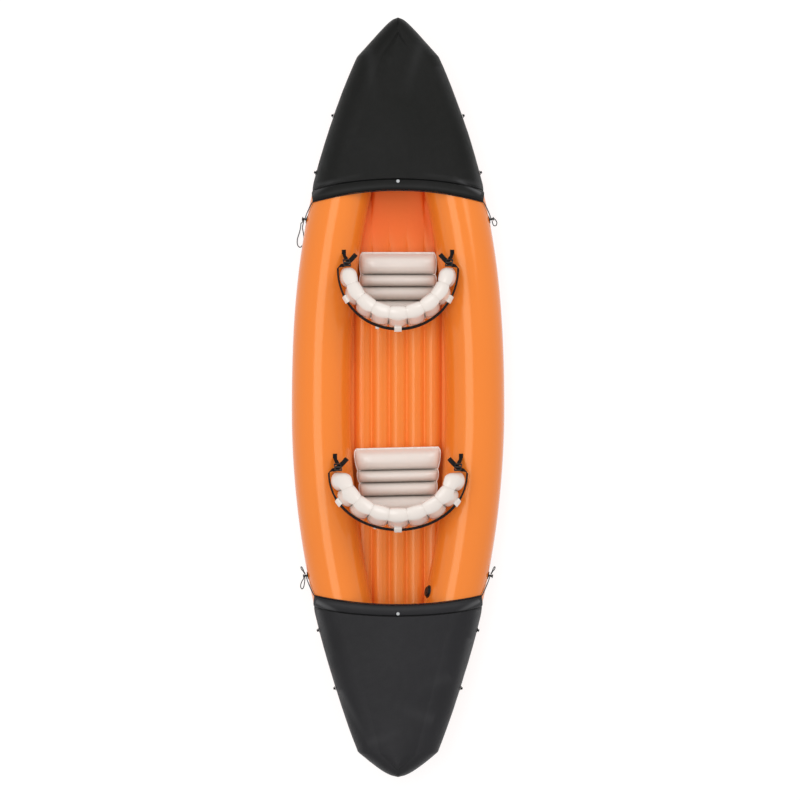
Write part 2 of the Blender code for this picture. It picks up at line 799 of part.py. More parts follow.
def seat_cushion(name, front_y, widths, yaw, parent):
    """A pillow of cross channels: crowned on top, flat where it rests, drawn in to a side seam.

    Its last channel is tucked in towards the middle, to stay inside the horseshoe.
    """
    rows = cushion_rows()
    length = rows[-1][0]
    base = FLOOR_CREST_Z + CUSHION_LIFT
    seam = base + CUSHION_SEAM_Z
    even = [2 * k / CUSHION_COLUMNS - 1 for k in range(CUSHION_COLUMNS + 1)]
    shares = [math.sin(math.pi / 2 * share) for share in even]
    work = bmesh.new()
    top, under = [], []
    for index, (back, swell) in enumerate(rows):
        ends = index in (0, len(rows) - 1)
        from_end = min(back, length - back)
        end_fill = math.sqrt(1 - (1 - min(1.0, from_end / CUSHION_ROUND * 2)) ** 2)
        above, below = [], []
        width = widths[0] + (widths[1] - widths[0]) * back / length
        into_last = max(0.0, 1 - (length - back) / CUSHION_CHANNELS[-1])
        width *= 1 - CUSHION_TUCK * into_last ** 2
        narrow = 1 - (CUSHION_END_NARROWING if ends else CUSHION_WAIST * (1 - swell))
        for k, share in enumerate(shares):
            x = share * width / 2 * narrow
            from_side = width / 2 * (1 - abs(share))
            side_fill = math.sqrt(1 - (1 - min(1.0, from_side / CUSHION_ROUND)) ** 2)
            fill = side_fill * end_fill
            crest = CUSHION_WELD + (CUSHION_CREST - CUSHION_WELD) * swell
            high = seam + (base + crest - seam) * fill
            low = seam - (seam - base) * min(1.0, fill * CUSHION_UNDERSIDE)
            edge = ends or k in (0, CUSHION_COLUMNS)
            vert = work.verts.new((x, front_y - back, seam if edge else high))
            above.append(vert)
            below.append(vert if edge else work.verts.new((x, front_y - back, low)))
        top.append(above)
        under.append(below)
    for skin in (top, under):
        for near, far in zip(skin, skin[1:]):
            for k in range(CUSHION_COLUMNS):
                work.faces.new((near[k], near[k + 1], far[k + 1], far[k]))
    centre = Vector((0, front_y - length / 2, 0))
    turn = Matrix.Translation(centre) @ Matrix.Rotation(yaw, 4, "Z") @ Matrix.Translation(-centre)
    bmesh.ops.transform(work, matrix=turn, verts=work.verts)
    cushion = place(name, finish_mesh(name, work), "seat_white")
    hang_on(cushion, parent)


class Backrest:
    """The horseshoe's sizes, and points on it.

    around runs from 0 at the port wing's end to 1 at the starboard one, level from 0 at the
    base to 1 at the top, and out is the distance outwards from the middle of the wall. The wall
    stands upright up to its widest level, and its top leans in over the seat.
    """

    def __init__(self, back_y, depth, side_lean, wing_setback):
        half = BACK_THICKNESS / 2
        self.wing_y = back_y + depth
        self.width = tube_section(self.wing_y)[0] - wing_setback - half
        self.depth = depth - half
        self.side_lean = side_lean
        self.seat_z = FLOOR_CREST_Z + CUSHION_LIFT + CUSHION_CREST + BACK_CLEARANCE

    def base_z(self, around):
        """On the cushion at the back, and up over the tubes' inner shoulders at the wings."""
        angle = math.pi * (around - 0.5)
        x, z, wide, _ = tube_section(self.wing_y - self.depth * math.cos(angle))
        aside = x - self.width * abs(math.sin(angle))
        reach = wide + BACK_THICKNESS / 2 + BACK_TUBE_GAP
        if abs(aside) >= reach:
            return self.seat_z
        return max(self.seat_z, z + math.sqrt(reach ** 2 - aside ** 2) - BACK_THICKNESS / 2)

    def top_z(self, around):
        share = math.cos(math.pi * (around - 0.5))
        return BACK_WING_TOP_Z + (BACK_TOP_Z - BACK_WING_TOP_Z) * share

    def strap_level(self, around):
        """The strap comes down from the back of the horseshoe to its wings."""
        share = math.cos(math.pi * (around - 0.5))
        return STRAP_WING_LEVEL + (STRAP_LEVEL - STRAP_WING_LEVEL) * share

    def point(self, around, level, out=0.0):
        angle = math.pi * (around - 0.5)
        lean = max(0.0, (level - BACK_WIDEST) / (1 - BACK_WIDEST)) ** BACK_LEAN_POWER
        width = self.width - self.side_lean * lean
        depth = self.depth - BACK_LEAN * lean
        x = width * math.sin(angle)
        y = self.wing_y - depth * math.cos(angle)
        normal = Vector((depth * math.sin(angle), -width * math.cos(angle), 0)).normalized()
        base = self.base_z(around)
        return Vector((x, y, base + (self.top_z(around) - base) * level)) + normal * out

    def ring(self, around, thick):
        """The wall's rounded section at one place round the horseshoe."""
        height = self.top_z(around) - self.base_z(around)
        corner = thick / 2 / height
        high = 1.0 - (BACK_THICKNESS - thick) * BACK_CREASE_DIP / height
        half = thick / 2
        drop = corner * BACK_CORNER_DROP
        side = high - 2 * corner
        outer = [(0.0, 0.0), (drop, half * BACK_CORNER)]
        outer += [(corner + side * k / BACK_ROWS, half) for k in range(BACK_ROWS + 1)]
        outer.append((high - drop, half * BACK_CORNER))
        points = [self.point(around, level, out) for level, out in outer]
        points.append(self.point(around, high, 0.0))
        points += [self.point(around, level, -out) for level, out in reversed(outer[1:])]
        return points


def backrest_mesh(name, shape):
    rings = []
    total = BACK_CHANNELS * BACK_STEPS
    for step in range(total + 1):
        share = step % BACK_STEPS / BACK_STEPS
        swell = math.sqrt(1 - (2 * share - 1) ** 2) if share else 0.0
        thick = BACK_WELD + (BACK_THICKNESS - BACK_WELD) * swell
        rings.append(shape.ring(step / total, thick))
    return loft_mesh(name, rings)


def band_mesh(name, centres, normals, widths_along, width, thickness):
    """Flat webbing: a rectangle carried along a path, its face square to the normals."""
    rings = []
    for centre, normal, up in zip(centres, normals, widths_along):
        high = up * (width / 2)
        deep = normal * (thickness / 2)
        rings.append([
            centre - high - deep, centre - high + deep, centre + high + deep, centre + high - deep
        ])
    return loft_mesh(name, rings, smooth=False)


def wall_frame(shape, around, level_at, out):
    """Centre, outward normal and up direction on the wall, along a line of changing level."""
    step = 0.01
    level = level_at(around)
    middle = shape.point(around, level)
    low, high = max(around - step, 0.0), min(around + step, 1.0)
    along = (shape.point(high, level_at(high)) - shape.point(low, level_at(low))).normalized()
    rise = shape.point(around, level + step) - middle
    up = (rise - along * rise.dot(along)).normalized()
    normal = along.cross(up)
    return middle + normal * out, normal, up


def strap_frame(shape, around):
    """The strap's upper edge lies at the wall and its lower one stands out from it."""
    out = BACK_THICKNESS / 2 + STRAP_GAP + WEBBING / 2
    centre, normal, up = wall_frame(shape, around, shape.strap_level, out)
    leaning = up * math.cos(STRAP_TILT) - normal * math.sin(STRAP_TILT)
    facing = normal * math.cos(STRAP_TILT) + up * math.sin(STRAP_TILT)
    return centre + (up - leaning) * (WEBBING_WIDTH / 2), facing, leaning


def wing_end(shape, side):
    """Where the strap's line leaves a wing, and the wall's direction there."""
    out = BACK_THICKNESS / 2 + STRAP_GAP + WEBBING / 2
    return wall_frame(shape, 1.0 if side > 0 else 0.0, shape.strap_level, out)


def buckle_place(shape, side):
    """The buckle lies in front of a wing's end, where the strap turns in over it."""
    end, _, _ = wing_end(shape, side)
    ahead = mirrored(Vector(BUCKLE_AHEAD), -side).normalized()
    face = mirrored(Vector(BUCKLE_FACE), -side)
    normal = (face - ahead * face.dot(ahead)).normalized()
    return end + mirrored(Vector(BUCKLE_OFFSET), -side), ahead, normal


def web_frames(path, faces, first_up):
    """Centres, face directions and width directions along a piece of webbing, without a flip."""
    frames = []
    last_up = first_up
    for k, point in enumerate(path):
        before = path[max(k - 1, 0)]
        after = path[min(k + 1, len(path) - 1)]
        along = (after - before).normalized()
        face = (faces[k] - along * faces[k].dot(along)).normalized()
        up = along.cross(face)
        last_up = up if up.dot(last_up) > 0 else -up
        frames.append((point, face, last_up))
    return frames


def tail_frames(shape, side):
    """From the wing's end, turning face up under the buckle, to the loose tip in the cockpit."""
    end, _, _ = wing_end(shape, side)
    _, outward, _ = strap_frame(shape, 1.0 if side > 0 else 0.0)
    _, _, normal = buckle_place(shape, side)
    path = smooth_route([end + mirrored(Vector(offset), -side) for offset in TAIL_OFFSETS], 4)
    faces = [
        outward.lerp(normal, smooth_step(TAIL_TWIST * (k + 1) / len(path)))
        for k in range(len(path))
    ]
    return web_frames(path, faces, Vector((0, 0, 1)))


def back_strap(name, shape, parent):
    """Webbing round the horseshoe, through the buckle at each wing and on to its loose tails."""
    around = [strap_frame(shape, k / STRAP_STEPS) for k in range(STRAP_STEPS + 1)]
    frames = list(reversed(tail_frames(shape, -1))) + around + tail_frames(shape, 1)
    centres, normals, ups = zip(*frames)
    mesh = band_mesh(name, centres, normals, ups, WEBBING_WIDTH, WEBBING)
    strap = place(name, mesh, "webbing_black")
    hang_on(strap, parent)


def strap_buckle(name, shape, side, parent):
    """A ladder buckle: a frame with two windows and a middle bar."""
    spot, ahead, normal = buckle_place(shape, side)
    work = bmesh.new()
    bmesh.ops.create_cube(work, size=1)
    bmesh.ops.scale(work, vec=(BUCKLE_WIDTH, BUCKLE_LENGTH, BUCKLE_HEIGHT), verts=work.verts)
    bmesh.ops.bevel(
        work, geom=work.edges[:], offset=BUCKLE_EDGE, segments=1, affect="EDGES"
    )
    buckle = place(name, finish_mesh(name, work, False), "plastic_black")
    window = bmesh.new()
    for way in (-1, 1):
        shift = Matrix.Translation((0, way * BUCKLE_WINDOW_OFFSET, 0))
        size = Matrix.Diagonal((BUCKLE_WINDOW_WIDTH, BUCKLE_WINDOW_LENGTH, 3 * BUCKLE_HEIGHT, 1))
        bmesh.ops.create_cube(window, size=1, matrix=shift @ size)
    windows = name + "_windows"
    cutter = place(windows, finish_mesh(windows, window, False), "plastic_black")
    buckle.matrix_world = cutter.matrix_world = frame_at(spot, normal, ahead)
    boolean(buckle, "DIFFERENCE", cutter)
    hang_on(buckle, parent)
    hang_on(cutter, parent)


def hull_tab(name, shape, side):
    """The webbing that is welded to the tube and runs up to the buckle."""
    spot, ahead, normal = buckle_place(shape, side)
    start = spot + ahead * (BUCKLE_LENGTH / 2 + TAB_GAP)
    out = WEBBING / 2 + TAB_GAP
    places = []
    for run in (TAB_DROP, TAB_DROP + TAB_WELD):
        y = start.y + run
        x, _, wide, _ = tube_section(y)
        angle = math.acos((abs(start.x) + TAB_SPREAD - x) / (wide + out))
        point = mirrored(tube_point(y, angle, out), side)
        places.append((point, mirrored(tube_normal(y, angle), side)))
    (low, skin), (last, _) = places
    path = smooth_route([start, start.lerp(low, 0.55) + Vector((0, 0, 0.002)), low, last], 5)
    faces = [
        normal.lerp(skin, smooth_step(1.5 * k / (len(path) - 1))) for k in range(len(path))
    ]
    frames = web_frames(path, faces, Vector((1, 0, 0)))
    centres, normals, ups = zip(*frames)
    place(name, band_mesh(name, centres, normals, ups, TAB_WIDTH, WEBBING), "webbing_black")


def strap_keeper(name, shape, channel, parent):
    """A loop welded to the backrest that the strap runs through: an outer wall and two legs."""
    middle = (channel + 0.5) / BACK_CHANNELS
    arc = math.pi * (shape.width + shape.depth) / 2
    half_step = KEEPER_LENGTH / 2 / arc
    inside = WEBBING_WIDTH / 2 + KEEPER_MARGIN
    outside = inside + KEEPER_WALL
    high = BACK_THICKNESS / 2 + STRAP_GAP + WEBBING + KEEPER_MARGIN
    low = high + 2 * inside * math.sin(STRAP_TILT)
    foot = BACK_THICKNESS / 2 + SEAT_GAP
    profile = (
        (-outside, foot), (-outside, low + KEEPER_WALL), (outside, high + KEEPER_WALL),
        (outside, foot), (inside, foot), (inside, high), (-inside, low), (-inside, foot),
    )
    rings = []
    pieces = 4
    for k in range(pieces + 1):
        around = middle + half_step * (2 * k / pieces - 1)
        centre, normal, up = wall_frame(shape, around, shape.strap_level, 0.0)
        rings.append([centre + up * rise + normal * out for rise, out in profile])
    keeper = place(name, loft_mesh(name, rings, smooth=False), "seat_white")
    hang_on(keeper, parent)


def seat_valve(name, stopper_name, shape, parent):
    """A stub with a stopper in it, low on the outside of the backrest."""
    around = (SEAT_VALVE_CHANNEL + 0.5) / BACK_CHANNELS
    out = BACK_THICKNESS / 2 + SEAT_GAP
    centre, normal, _ = wall_frame(shape, around, lambda _: SEAT_VALVE_LEVEL, out)
    bore = STOPPER_RADIUS + VALVE_FIT
    neck = bore + SEAT_VALVE_WALL
    ring = (
        (0, 0),
        (SEAT_VALVE_RADIUS, 0),
        (SEAT_VALVE_RADIUS, SEAT_VALVE_BASE),
        (neck, SEAT_VALVE_BASE * 1.5),
        (neck, SEAT_VALVE_HEIGHT),
        (bore, SEAT_VALVE_HEIGHT),
        (bore, SEAT_VALVE_BASE),
        (0, SEAT_VALVE_BASE),
    )
    spot = frame_at(centre, normal, (0, 0, 1))
    valve = place(name, turned_mesh(name, ring, 12), "seat_white")
    valve.matrix_world = spot
    hang_on(valve, parent)
    foot = SEAT_VALVE_BASE + VALVE_FIT
    brim = SEAT_VALVE_HEIGHT + VALVE_FIT
    plug = (
        (0, foot),
        (STOPPER_RADIUS, foot),
        (STOPPER_RADIUS, brim),
        (STOPPER_RADIUS + STOPPER_BRIM, brim),
        (STOPPER_RADIUS + STOPPER_BRIM, brim + STOPPER_TOP),
        (0, brim + STOPPER_TOP),
    )
    stopper = place(stopper_name, turned_mesh(stopper_name, plug, 12), "seat_white")
    stopper.matrix_world = spot
    hang_on(stopper, parent)


def seat(prefix, front_y, widths, yaw, shape):
    """One blow-up seat, with everything that is on it."""
    carrier = guide(prefix + "_seat_slide", (0, front_y, FLOOR_CREST_Z))
    seat_cushion(prefix + "_seat_cushion", front_y, widths, yaw, carrier)
    hinge_y = shape.wing_y - shape.depth - BACK_THICKNESS / 2
    hinge = guide(prefix + "_back_hinge", (0, hinge_y, shape.seat_z))
    hang_on(hinge, carrier)
    back = place(prefix + "_backrest", backrest_mesh(prefix + "_backrest", shape), "seat_white")
    hang_on(back, hinge)
    back_strap(prefix + "_back_strap", shape, hinge)
    for index, channel in enumerate(KEEPER_CHANNELS):
        where = ("left", "middle", "right")[index]
        strap_keeper(f"{prefix}_strap_keeper_{where}", shape, channel, hinge)
    for where, side in (("left", -1), ("right", 1)):
        strap_buckle(f"{prefix}_strap_buckle_{where}", shape, side, hinge)
        hull_tab(f"{prefix}_strap_tab_{where}", shape, side)
    seat_valve(prefix + "_seat_valve", prefix + "_seat_stopper", shape, hinge)


# Valves


def screw_valve(name, holder, spot):
    """A flanged valve let into the skin, with a ribbed screw cap over its mouth."""
    pocket = VALVE_RADIUS + VALVE_FIT
    cut = turned_mesh(name + "_pocket", (
        (0, -VALVE_POCKET), (pocket, -VALVE_POCKET), (pocket, VALVE_POCKET), (0, VALVE_POCKET)
    ), VALVE_SIDES)
    cutter = place(name + "_pocket", cut, "plastic_black")
    cutter.matrix_world = spot
    boolean(holder, "DIFFERENCE", cutter)
    floor = -VALVE_POCKET + VALVE_FIT
    body = (
        (0, floor),
        (VALVE_RADIUS, floor),
        (VALVE_RADIUS, VALVE_RIM * 0.5),
        (VALVE_RADIUS - VALVE_EDGE, VALVE_RIM),
        (VALVE_CAP_RADIUS + VALVE_FIT, VALVE_RIM),
        (VALVE_CAP_RADIUS + VALVE_FIT, 0),
        (VALVE_NECK_RADIUS, 0),
        (VALVE_NECK_RADIUS, VALVE_RIM),
        (0, VALVE_RIM),
    )
    valve = place(name, turned_mesh(name, body, VALVE_SIDES), "plastic_black")
    valve.matrix_world = spot
    top = VALVE_RIM + VALVE_CAP_HEIGHT
    inside = VALVE_NECK_RADIUS + VALVE_FIT
    skirt = (
        (0, VALVE_RIM + VALVE_FIT),
        (inside, VALVE_RIM + VALVE_FIT),
        (inside, VALVE_FIT),
        (VALVE_CAP_RADIUS, VALVE_FIT),
        (VALVE_CAP_RADIUS, top - VALVE_EDGE),
        (VALVE_CAP_RADIUS - VALVE_EDGE, top),
        (0, top),
    )
    cap = place(name + "_cap", turned_mesh(name + "_cap", skirt, VALVE_SIDES), "plastic_black")
    cap.matrix_world = spot


def fin_base():
    """The welded plate under the stern, along the rocker, with the slot for the loose fin."""
    y = FIN_BASE_Y
    step = FIN_BASE_LENGTH / 2
    slope = math.atan((rocker(y + step) - rocker(y - step)) / (2 * step))
    under_floor = Matrix.Translation((0, y, FLOOR_UNDERSIDE + rocker(y) - SEAT_GAP))
    under_floor @= Matrix.Rotation(slope, 4, "X")
    work = bmesh.new()
    bmesh.ops.create_cube(work, size=1)
    bmesh.ops.scale(work, vec=(FIN_BASE_WIDTH, FIN_BASE_LENGTH, FIN_BASE_HEIGHT), verts=work.verts)
    upright = [
        edge for edge in work.edges
        if abs(edge.verts[0].co.z - edge.verts[1].co.z) > FIN_BASE_HEIGHT / 2
    ]
    bmesh.ops.bevel(work, geom=upright, offset=FIN_BASE_CORNER, segments=4, affect="EDGES")
    base = place("fin_base", finish_mesh("fin_base", work, False), "plastic_black")
    base.matrix_world = under_floor @ Matrix.Translation((0, 0, -FIN_BASE_HEIGHT / 2))
    slot = bmesh.new()
    bmesh.ops.create_cube(slot, size=1)
    size = (FIN_SLOT_WIDTH, FIN_SLOT_LENGTH, FIN_BASE_HEIGHT)
    bmesh.ops.scale(slot, vec=size, verts=slot.verts)
    cutter = place("fin_slot", finish_mesh("fin_slot", slot, False), "plastic_black")
    depth = -FIN_SLOT_ROOF - FIN_BASE_HEIGHT / 2
    cutter.matrix_world = under_floor @ Matrix.Translation((0, -FIN_SLOT_SHIFT, depth))
    boolean(base, "DIFFERENCE", cutter)


def build():
    clear_scene()
    port = side_tube("hull_tube_left", -1)
    starboard = side_tube("hull_tube_right", 1)
    floor = air_floor()
    end_cover("bow_cover", True)
    end_cover("stern_cover", False)
    rim_cord("bow_rim_cord", True)
    rim_cord("stern_rim_cord", False)
    for bow, end in ((True, "bow"), (False, "stern")):
        for side, where in ((-1, "left"), (1, "right")):
            cord_anchor(f"{end}_cord_anchor_{where}", bow, side)
            rim = BOW_RIM_Y if bow else -STERN_RIM_Y
            setbacks = BOW_BUTTON_SETBACKS if bow else STERN_BUTTON_SETBACKS
            for index, setback in enumerate(setbacks, 1):
                y = rim + math.copysign(setback, rim)
                cover_button(f"{end}_cover_button_{where}_{index}", y, side)
        hem_stud(end + "_hem_stud", bow)
    hanging_loop("bow_long_loop", True, -1, LONG_LOOP, 180, -125)
    hanging_loop("bow_small_loop", True, 1, SMALL_LOOP, 170, -120)
    hanging_loop("stern_drop_loop", False, -1, DROP_LOOP, 180, -110)
    hanging_loop("stern_folded_end_left", False, -1, FOLDED_END, 80, 140)
    hanging_loop("stern_folded_end_right", False, 1, FOLDED_END, 80, 140)
    front = Backrest(FRONT_BACK_Y, FRONT_BACK_DEPTH, FRONT_SIDE_LEAN, FRONT_WING_SETBACK)
    rear = Backrest(REAR_BACK_Y, REAR_BACK_DEPTH, REAR_SIDE_LEAN, REAR_WING_SETBACK)
    front_widths = cushion_widths(FRONT_CUSHION_Y, FRONT_CUSHION_ROOM, FRONT_CUSHION_TAPER)
    rear_widths = cushion_widths(REAR_CUSHION_Y, REAR_CUSHION_ROOM, REAR_CUSHION_TAPER)
    seat("front", FRONT_CUSHION_Y, front_widths, 0.0, front)
    seat("rear", REAR_CUSHION_Y, rear_widths, REAR_CUSHION_YAW, rear)
    for holder, side, y, name in (
        (starboard, 1, STARBOARD_VALVE_Y, "right_tube_valve"),
        (port, -1, PORT_VALVE_Y, "left_tube_valve"),
    ):
        point = mirrored(tube_point(y, TUBE_VALVE_ANGLE, -VALVE_SINK), side)
        normal = mirrored(tube_normal(y, TUBE_VALVE_ANGLE), side)
        screw_valve(name, holder, frame_at(point, normal, (0, 1, 0)))
    on_floor = (0, FLOOR_VALVE_Y, FLOOR_CREST_Z + rocker(FLOOR_VALVE_Y) - VALVE_SINK)
    screw_valve("floor_valve", floor, frame_at(on_floor, (0, 0, 1), (0, 1, 0)))
    fin_base()


build()
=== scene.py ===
"""Looks of a two-seat inflatable canoe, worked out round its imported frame.

Metres, +Y to the bow, +X to starboard, +Z up. Each surface is a formula on a grid of points, and
its docstring gives that formula in words.
"""

import json
import math

import bmesh
import bpy
import numpy as np
from mathutils import Matrix, Vector

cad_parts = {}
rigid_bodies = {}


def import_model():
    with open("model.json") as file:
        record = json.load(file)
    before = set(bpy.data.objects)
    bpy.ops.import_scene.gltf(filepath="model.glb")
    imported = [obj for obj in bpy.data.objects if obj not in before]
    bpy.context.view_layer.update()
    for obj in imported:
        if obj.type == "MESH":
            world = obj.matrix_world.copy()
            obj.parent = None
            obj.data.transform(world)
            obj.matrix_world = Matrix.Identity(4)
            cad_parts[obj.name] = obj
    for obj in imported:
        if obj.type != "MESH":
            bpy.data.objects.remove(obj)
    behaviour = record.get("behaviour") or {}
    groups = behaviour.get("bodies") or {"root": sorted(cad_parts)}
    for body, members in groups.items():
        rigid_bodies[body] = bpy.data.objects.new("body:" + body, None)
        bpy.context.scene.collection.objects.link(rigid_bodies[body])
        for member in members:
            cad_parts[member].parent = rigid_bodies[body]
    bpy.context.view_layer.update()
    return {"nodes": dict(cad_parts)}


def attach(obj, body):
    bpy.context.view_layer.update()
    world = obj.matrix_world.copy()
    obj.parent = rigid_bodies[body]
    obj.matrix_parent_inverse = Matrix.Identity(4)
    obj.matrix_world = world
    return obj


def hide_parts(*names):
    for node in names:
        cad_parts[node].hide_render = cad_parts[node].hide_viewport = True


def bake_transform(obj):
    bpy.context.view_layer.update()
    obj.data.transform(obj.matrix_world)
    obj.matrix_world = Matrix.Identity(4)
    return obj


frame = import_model()

# Mesh making
MERGE_DISTANCE = 2e-6
RIPPLE_SINES, RIPPLE_PITCHES = 7, (0.6, 1.7)
RIB_INNER_RADIUS = 0.01

# Hull plan and profile
TIP_Y = 1.6
HALF_BEAM = 0.4526
WIDEST_Y = -0.05
BOW_TAPER, BOW_POWER = 1.811, 2.43
STERN_TAPER, STERN_POWER = 1.822, 2.0
BOW_NOSE_SLOPE, BOW_NOSE_ROUND = 0.9, 0.034
STERN_NOSE_SLOPE, STERN_NOSE_ROUND = 1.15, 0.055
FLAT_BOTTOM = 0.75
BOW_RISE, STERN_RISE = 0.15, 0.13
TUBE_RADIUS = 0.126
TUBE_END = 0.075
TUBE_FACETS = 24
TUBE_VALVE_ANGLE = math.radians(160)

# Skin of the side tubes
TUBE_ROWS, TUBE_COLUMNS = 421, 104
TUBE_TIP_GAP, MIDDLE_GAP = 0.0002, 0.0004
SKIN_WAVE = 0.0005
SEAM_ANGLES = (math.radians(-38), math.radians(222))
SEAM_HALF_WIDTH, SEAM_HEIGHT, SEAM_EDGE = 0.010, 0.0011, 0.002
SKIN_PUCKER, SKIN_PUCKER_PITCH, SKIN_PUCKER_REACH = 0.0007, 0.0135, 0.02
VALVE_FLAT_RADIUS, VALVE_FLAT_EDGE, VALVE_FLAT_SINK = 0.058, 0.024, 0.0025
# Where the painted light low on each tube's inner side lies
INNER_SIDE_ANGLE = math.radians(205)
INNER_SIDE_END_Y, INNER_SIDE_FADE = 1.3, 0.1

# Air floor
CHANNELS = 5
FLOOR_WEB = 0.0271
FLOOR_UNDERSIDE = 0.012
FLOOR_WELD_Z = 0.064
FLOOR_CREST_Z = 0.09
FLOOR_END_Y = 1.25
FLOOR_ROWS, FLOOR_COLUMNS, FLOOR_FOOT_STEP = 471, 181, 12
FLOOR_WALL_GAP = 0.0012
FLOOR_FOOT_GAP, FLOOR_FOOT_HEIGHT = 0.002, 0.02
WELD_FILL, WELD_SLOPE = 0.008, 0.6
SHALLOW_FROM, SHALLOW_RUN = 0.40, 0.36
SHALLOW_RISE, SHALLOW_SIDE = 0.026, 0.045
FLOOR_PUCKER, FLOOR_PUCKER_PITCH, FLOOR_PUCKER_REACH = 0.0008, 0.0042, 0.007
FLOOR_TUCK = 0.010
# How far the painted light reaches from a weld
FLOOR_PAINTED_LIGHT_REACH = 0.012
FLOOR_VALVE_Y = -0.955

# Covers. A rim is given by its middle's distance from amidships and by how much nearer its corners
# are. A fold is given by its start and end in plan, its width and its height.
COVER_GAP = 0.0018
COVER_CLOTH = 0.0022
BOW_RIM = (0.8755, 0.045)
STERN_RIM = (0.8755, 0.0355)
RIM_HALF_WIDTH = 0.36
COVER_CROWN = 0.014
CORNER_ANGLE = math.radians(28)
EDGE_ANGLE = math.radians(-8)
CORNER_RUN = 0.12
HEM_WIDTH = 0.046
HEM_HEIGHT = 0.009
HEM_CREASE_WIDTH, HEM_CREASE_DEPTH = 0.003, 0.0026
# The hem's roll gets a painted highlight along this line.
HEM_ROLL_LINE, HEM_ROLL_WIDTH, HEM_ROLL_HIGHLIGHT = 0.33, 0.008, 0.12
# The cloth is laid darker within this distance of the rim.
RIM_DARKENING = 0.004
STITCH_PITCH, STITCH_SHARE, STITCH_HALF_WIDTH = 0.006, 0.32, 0.0006
STITCH_ROWS = (0.0415, 0.0505)
COVER_COLUMNS, HEM_ROWS, COVER_ROWS = 161, 34, 130
HEM_SHARE, COVER_ROW_POWER = 0.08, 0.93
COVER_TIP_GAP = 0.0004
COVER_EDGE_FADE, COVER_EDGE_RELIEF, COVER_TIP_FADE = 0.03, 0.15, 0.05
CLOTH_WAVE, CLOTH_RIPPLE, CLOTH_LOOSE = 0.0016, 0.0006, 0.05
FOLD_SCALE, FOLD_START_RUN = 1.5, 0.012
# How high a fold's ridge rises for its full painted highlight, and the most it gets.
FOLD_FULL_HIGHLIGHT, FOLD_MOST_HIGHLIGHT = 0.006, 0.9
FOLDS = {
    "bow": (
        ((0.34, 0.862), (0.23, 0.93), 0.007, 0.0042),
        ((-0.35, 0.858), (-0.27, 0.915), 0.008, 0.0024),
        ((0.345, 0.875), (0.31, 1.05), 0.012, 0.0010),
        ((0.36, 0.90), (0.10, 0.945), 0.006, 0.0018),
        ((-0.34, 0.90), (-0.14, 0.942), 0.006, 0.0014),
        ((0.10, 1.50), (0.02, 1.25), 0.022, 0.0005),
        ((-0.12, 1.47), (-0.10, 1.22), 0.020, 0.0004),
        ((0.17, 1.40), (0.26, 1.12), 0.018, 0.0005),
    ),
    "stern": (
        ((0.335, -0.86), (0.235, -0.915), 0.007, 0.0045),
        ((-0.335, -0.862), (-0.24, -0.915), 0.008, 0.0045),
        ((0.335, -0.90), (0.285, -1.17), 0.013, 0.0016),
        ((-0.335, -0.90), (-0.27, -1.12), 0.012, 0.0014),
        ((0.30, -1.02), (0.215, -1.36), 0.012, 0.0014),
        ((-0.24, -1.24), (-0.13, -1.45), 0.012, 0.0014),
        ((0.15, -1.36), (-0.02, -1.30), 0.024, 0.0005),
        ((-0.13, -1.46), (0.02, -1.40), 0.020, 0.0004),
        ((0.22, -1.18), (0.05, -1.24), 0.024, 0.0004),
    ),
}

# Cords, anchors and buttons
CORD_RADIUS = 0.002
CORD_SIDES, CORD_FIRST_SIDE = 14, (0.31, 0.11, 0.94)
RIM_CORD_STEP, LOOP_STEP = 0.006, 0.0022
ANCHOR_Y = 0.757
ANCHOR_ANGLE = math.radians(4)
ANCHOR_PATCH, ANCHOR_PATCH_RADIUS = 0.003, 0.017
ANCHOR_POST, ANCHOR_POST_RADIUS = 0.013, 0.0045
ANCHOR_HEAD, ANCHOR_HEAD_RADIUS = 0.004, 0.009
FIT = 0.0004
BUTTON_YS = {"bow": (0.956, 1.196), "stern": (-0.989, -1.234)}
BUTTON_ANGLE = math.radians(6)
BUTTON_STANDOFF = 0.0025

# Cushions
CUSHION_CHANNELS = (0.091, 0.052, 0.058, 0.078)
CUSHION_STEPS, CUSHION_COLUMNS = 29, 73
CUSHION_GROOVE, CUSHION_CREST, CUSHION_CREST_POWER = 0.036, 0.083, 0.85
CUSHION_SEAM_Z = 0.048
CUSHION_ROUND = 0.06
CUSHION_LIFT = 0.0008
CUSHION_TUCK, CUSHION_WAIST = 0.3, 0.05
CUSHION_END_RUN, CUSHION_END_NARROW = 0.012, 0.012
CUSHION_PUCKER, CUSHION_PUCKER_PITCH, CUSHION_PUCKER_REACH = 0.0011, 0.0046, 0.010
CUSHION_PUCKER_END, CUSHION_PUCKER_SIDE = 0.02, 0.03
CUSHION_PUFF = 0.0011
SIDE_PUCKER, SIDE_PUCKER_PITCH, SIDE_PUCKER_REACH = 0.0011, 0.0036, 0.016
# How wide the painted shade is beside a cushion's weld and beside its side seam
WELD_SHADE_WIDTH, SIDE_SHADE_WIDTH = 0.0085, 0.004
FLANGE_LIP, FLANGE_ROOT, FLANGE_EDGE = 0.0045, 0.006, 0.0008
FLANGE_WAVES = ((0.0009, 61, 0), (0.0006, 37, 1))

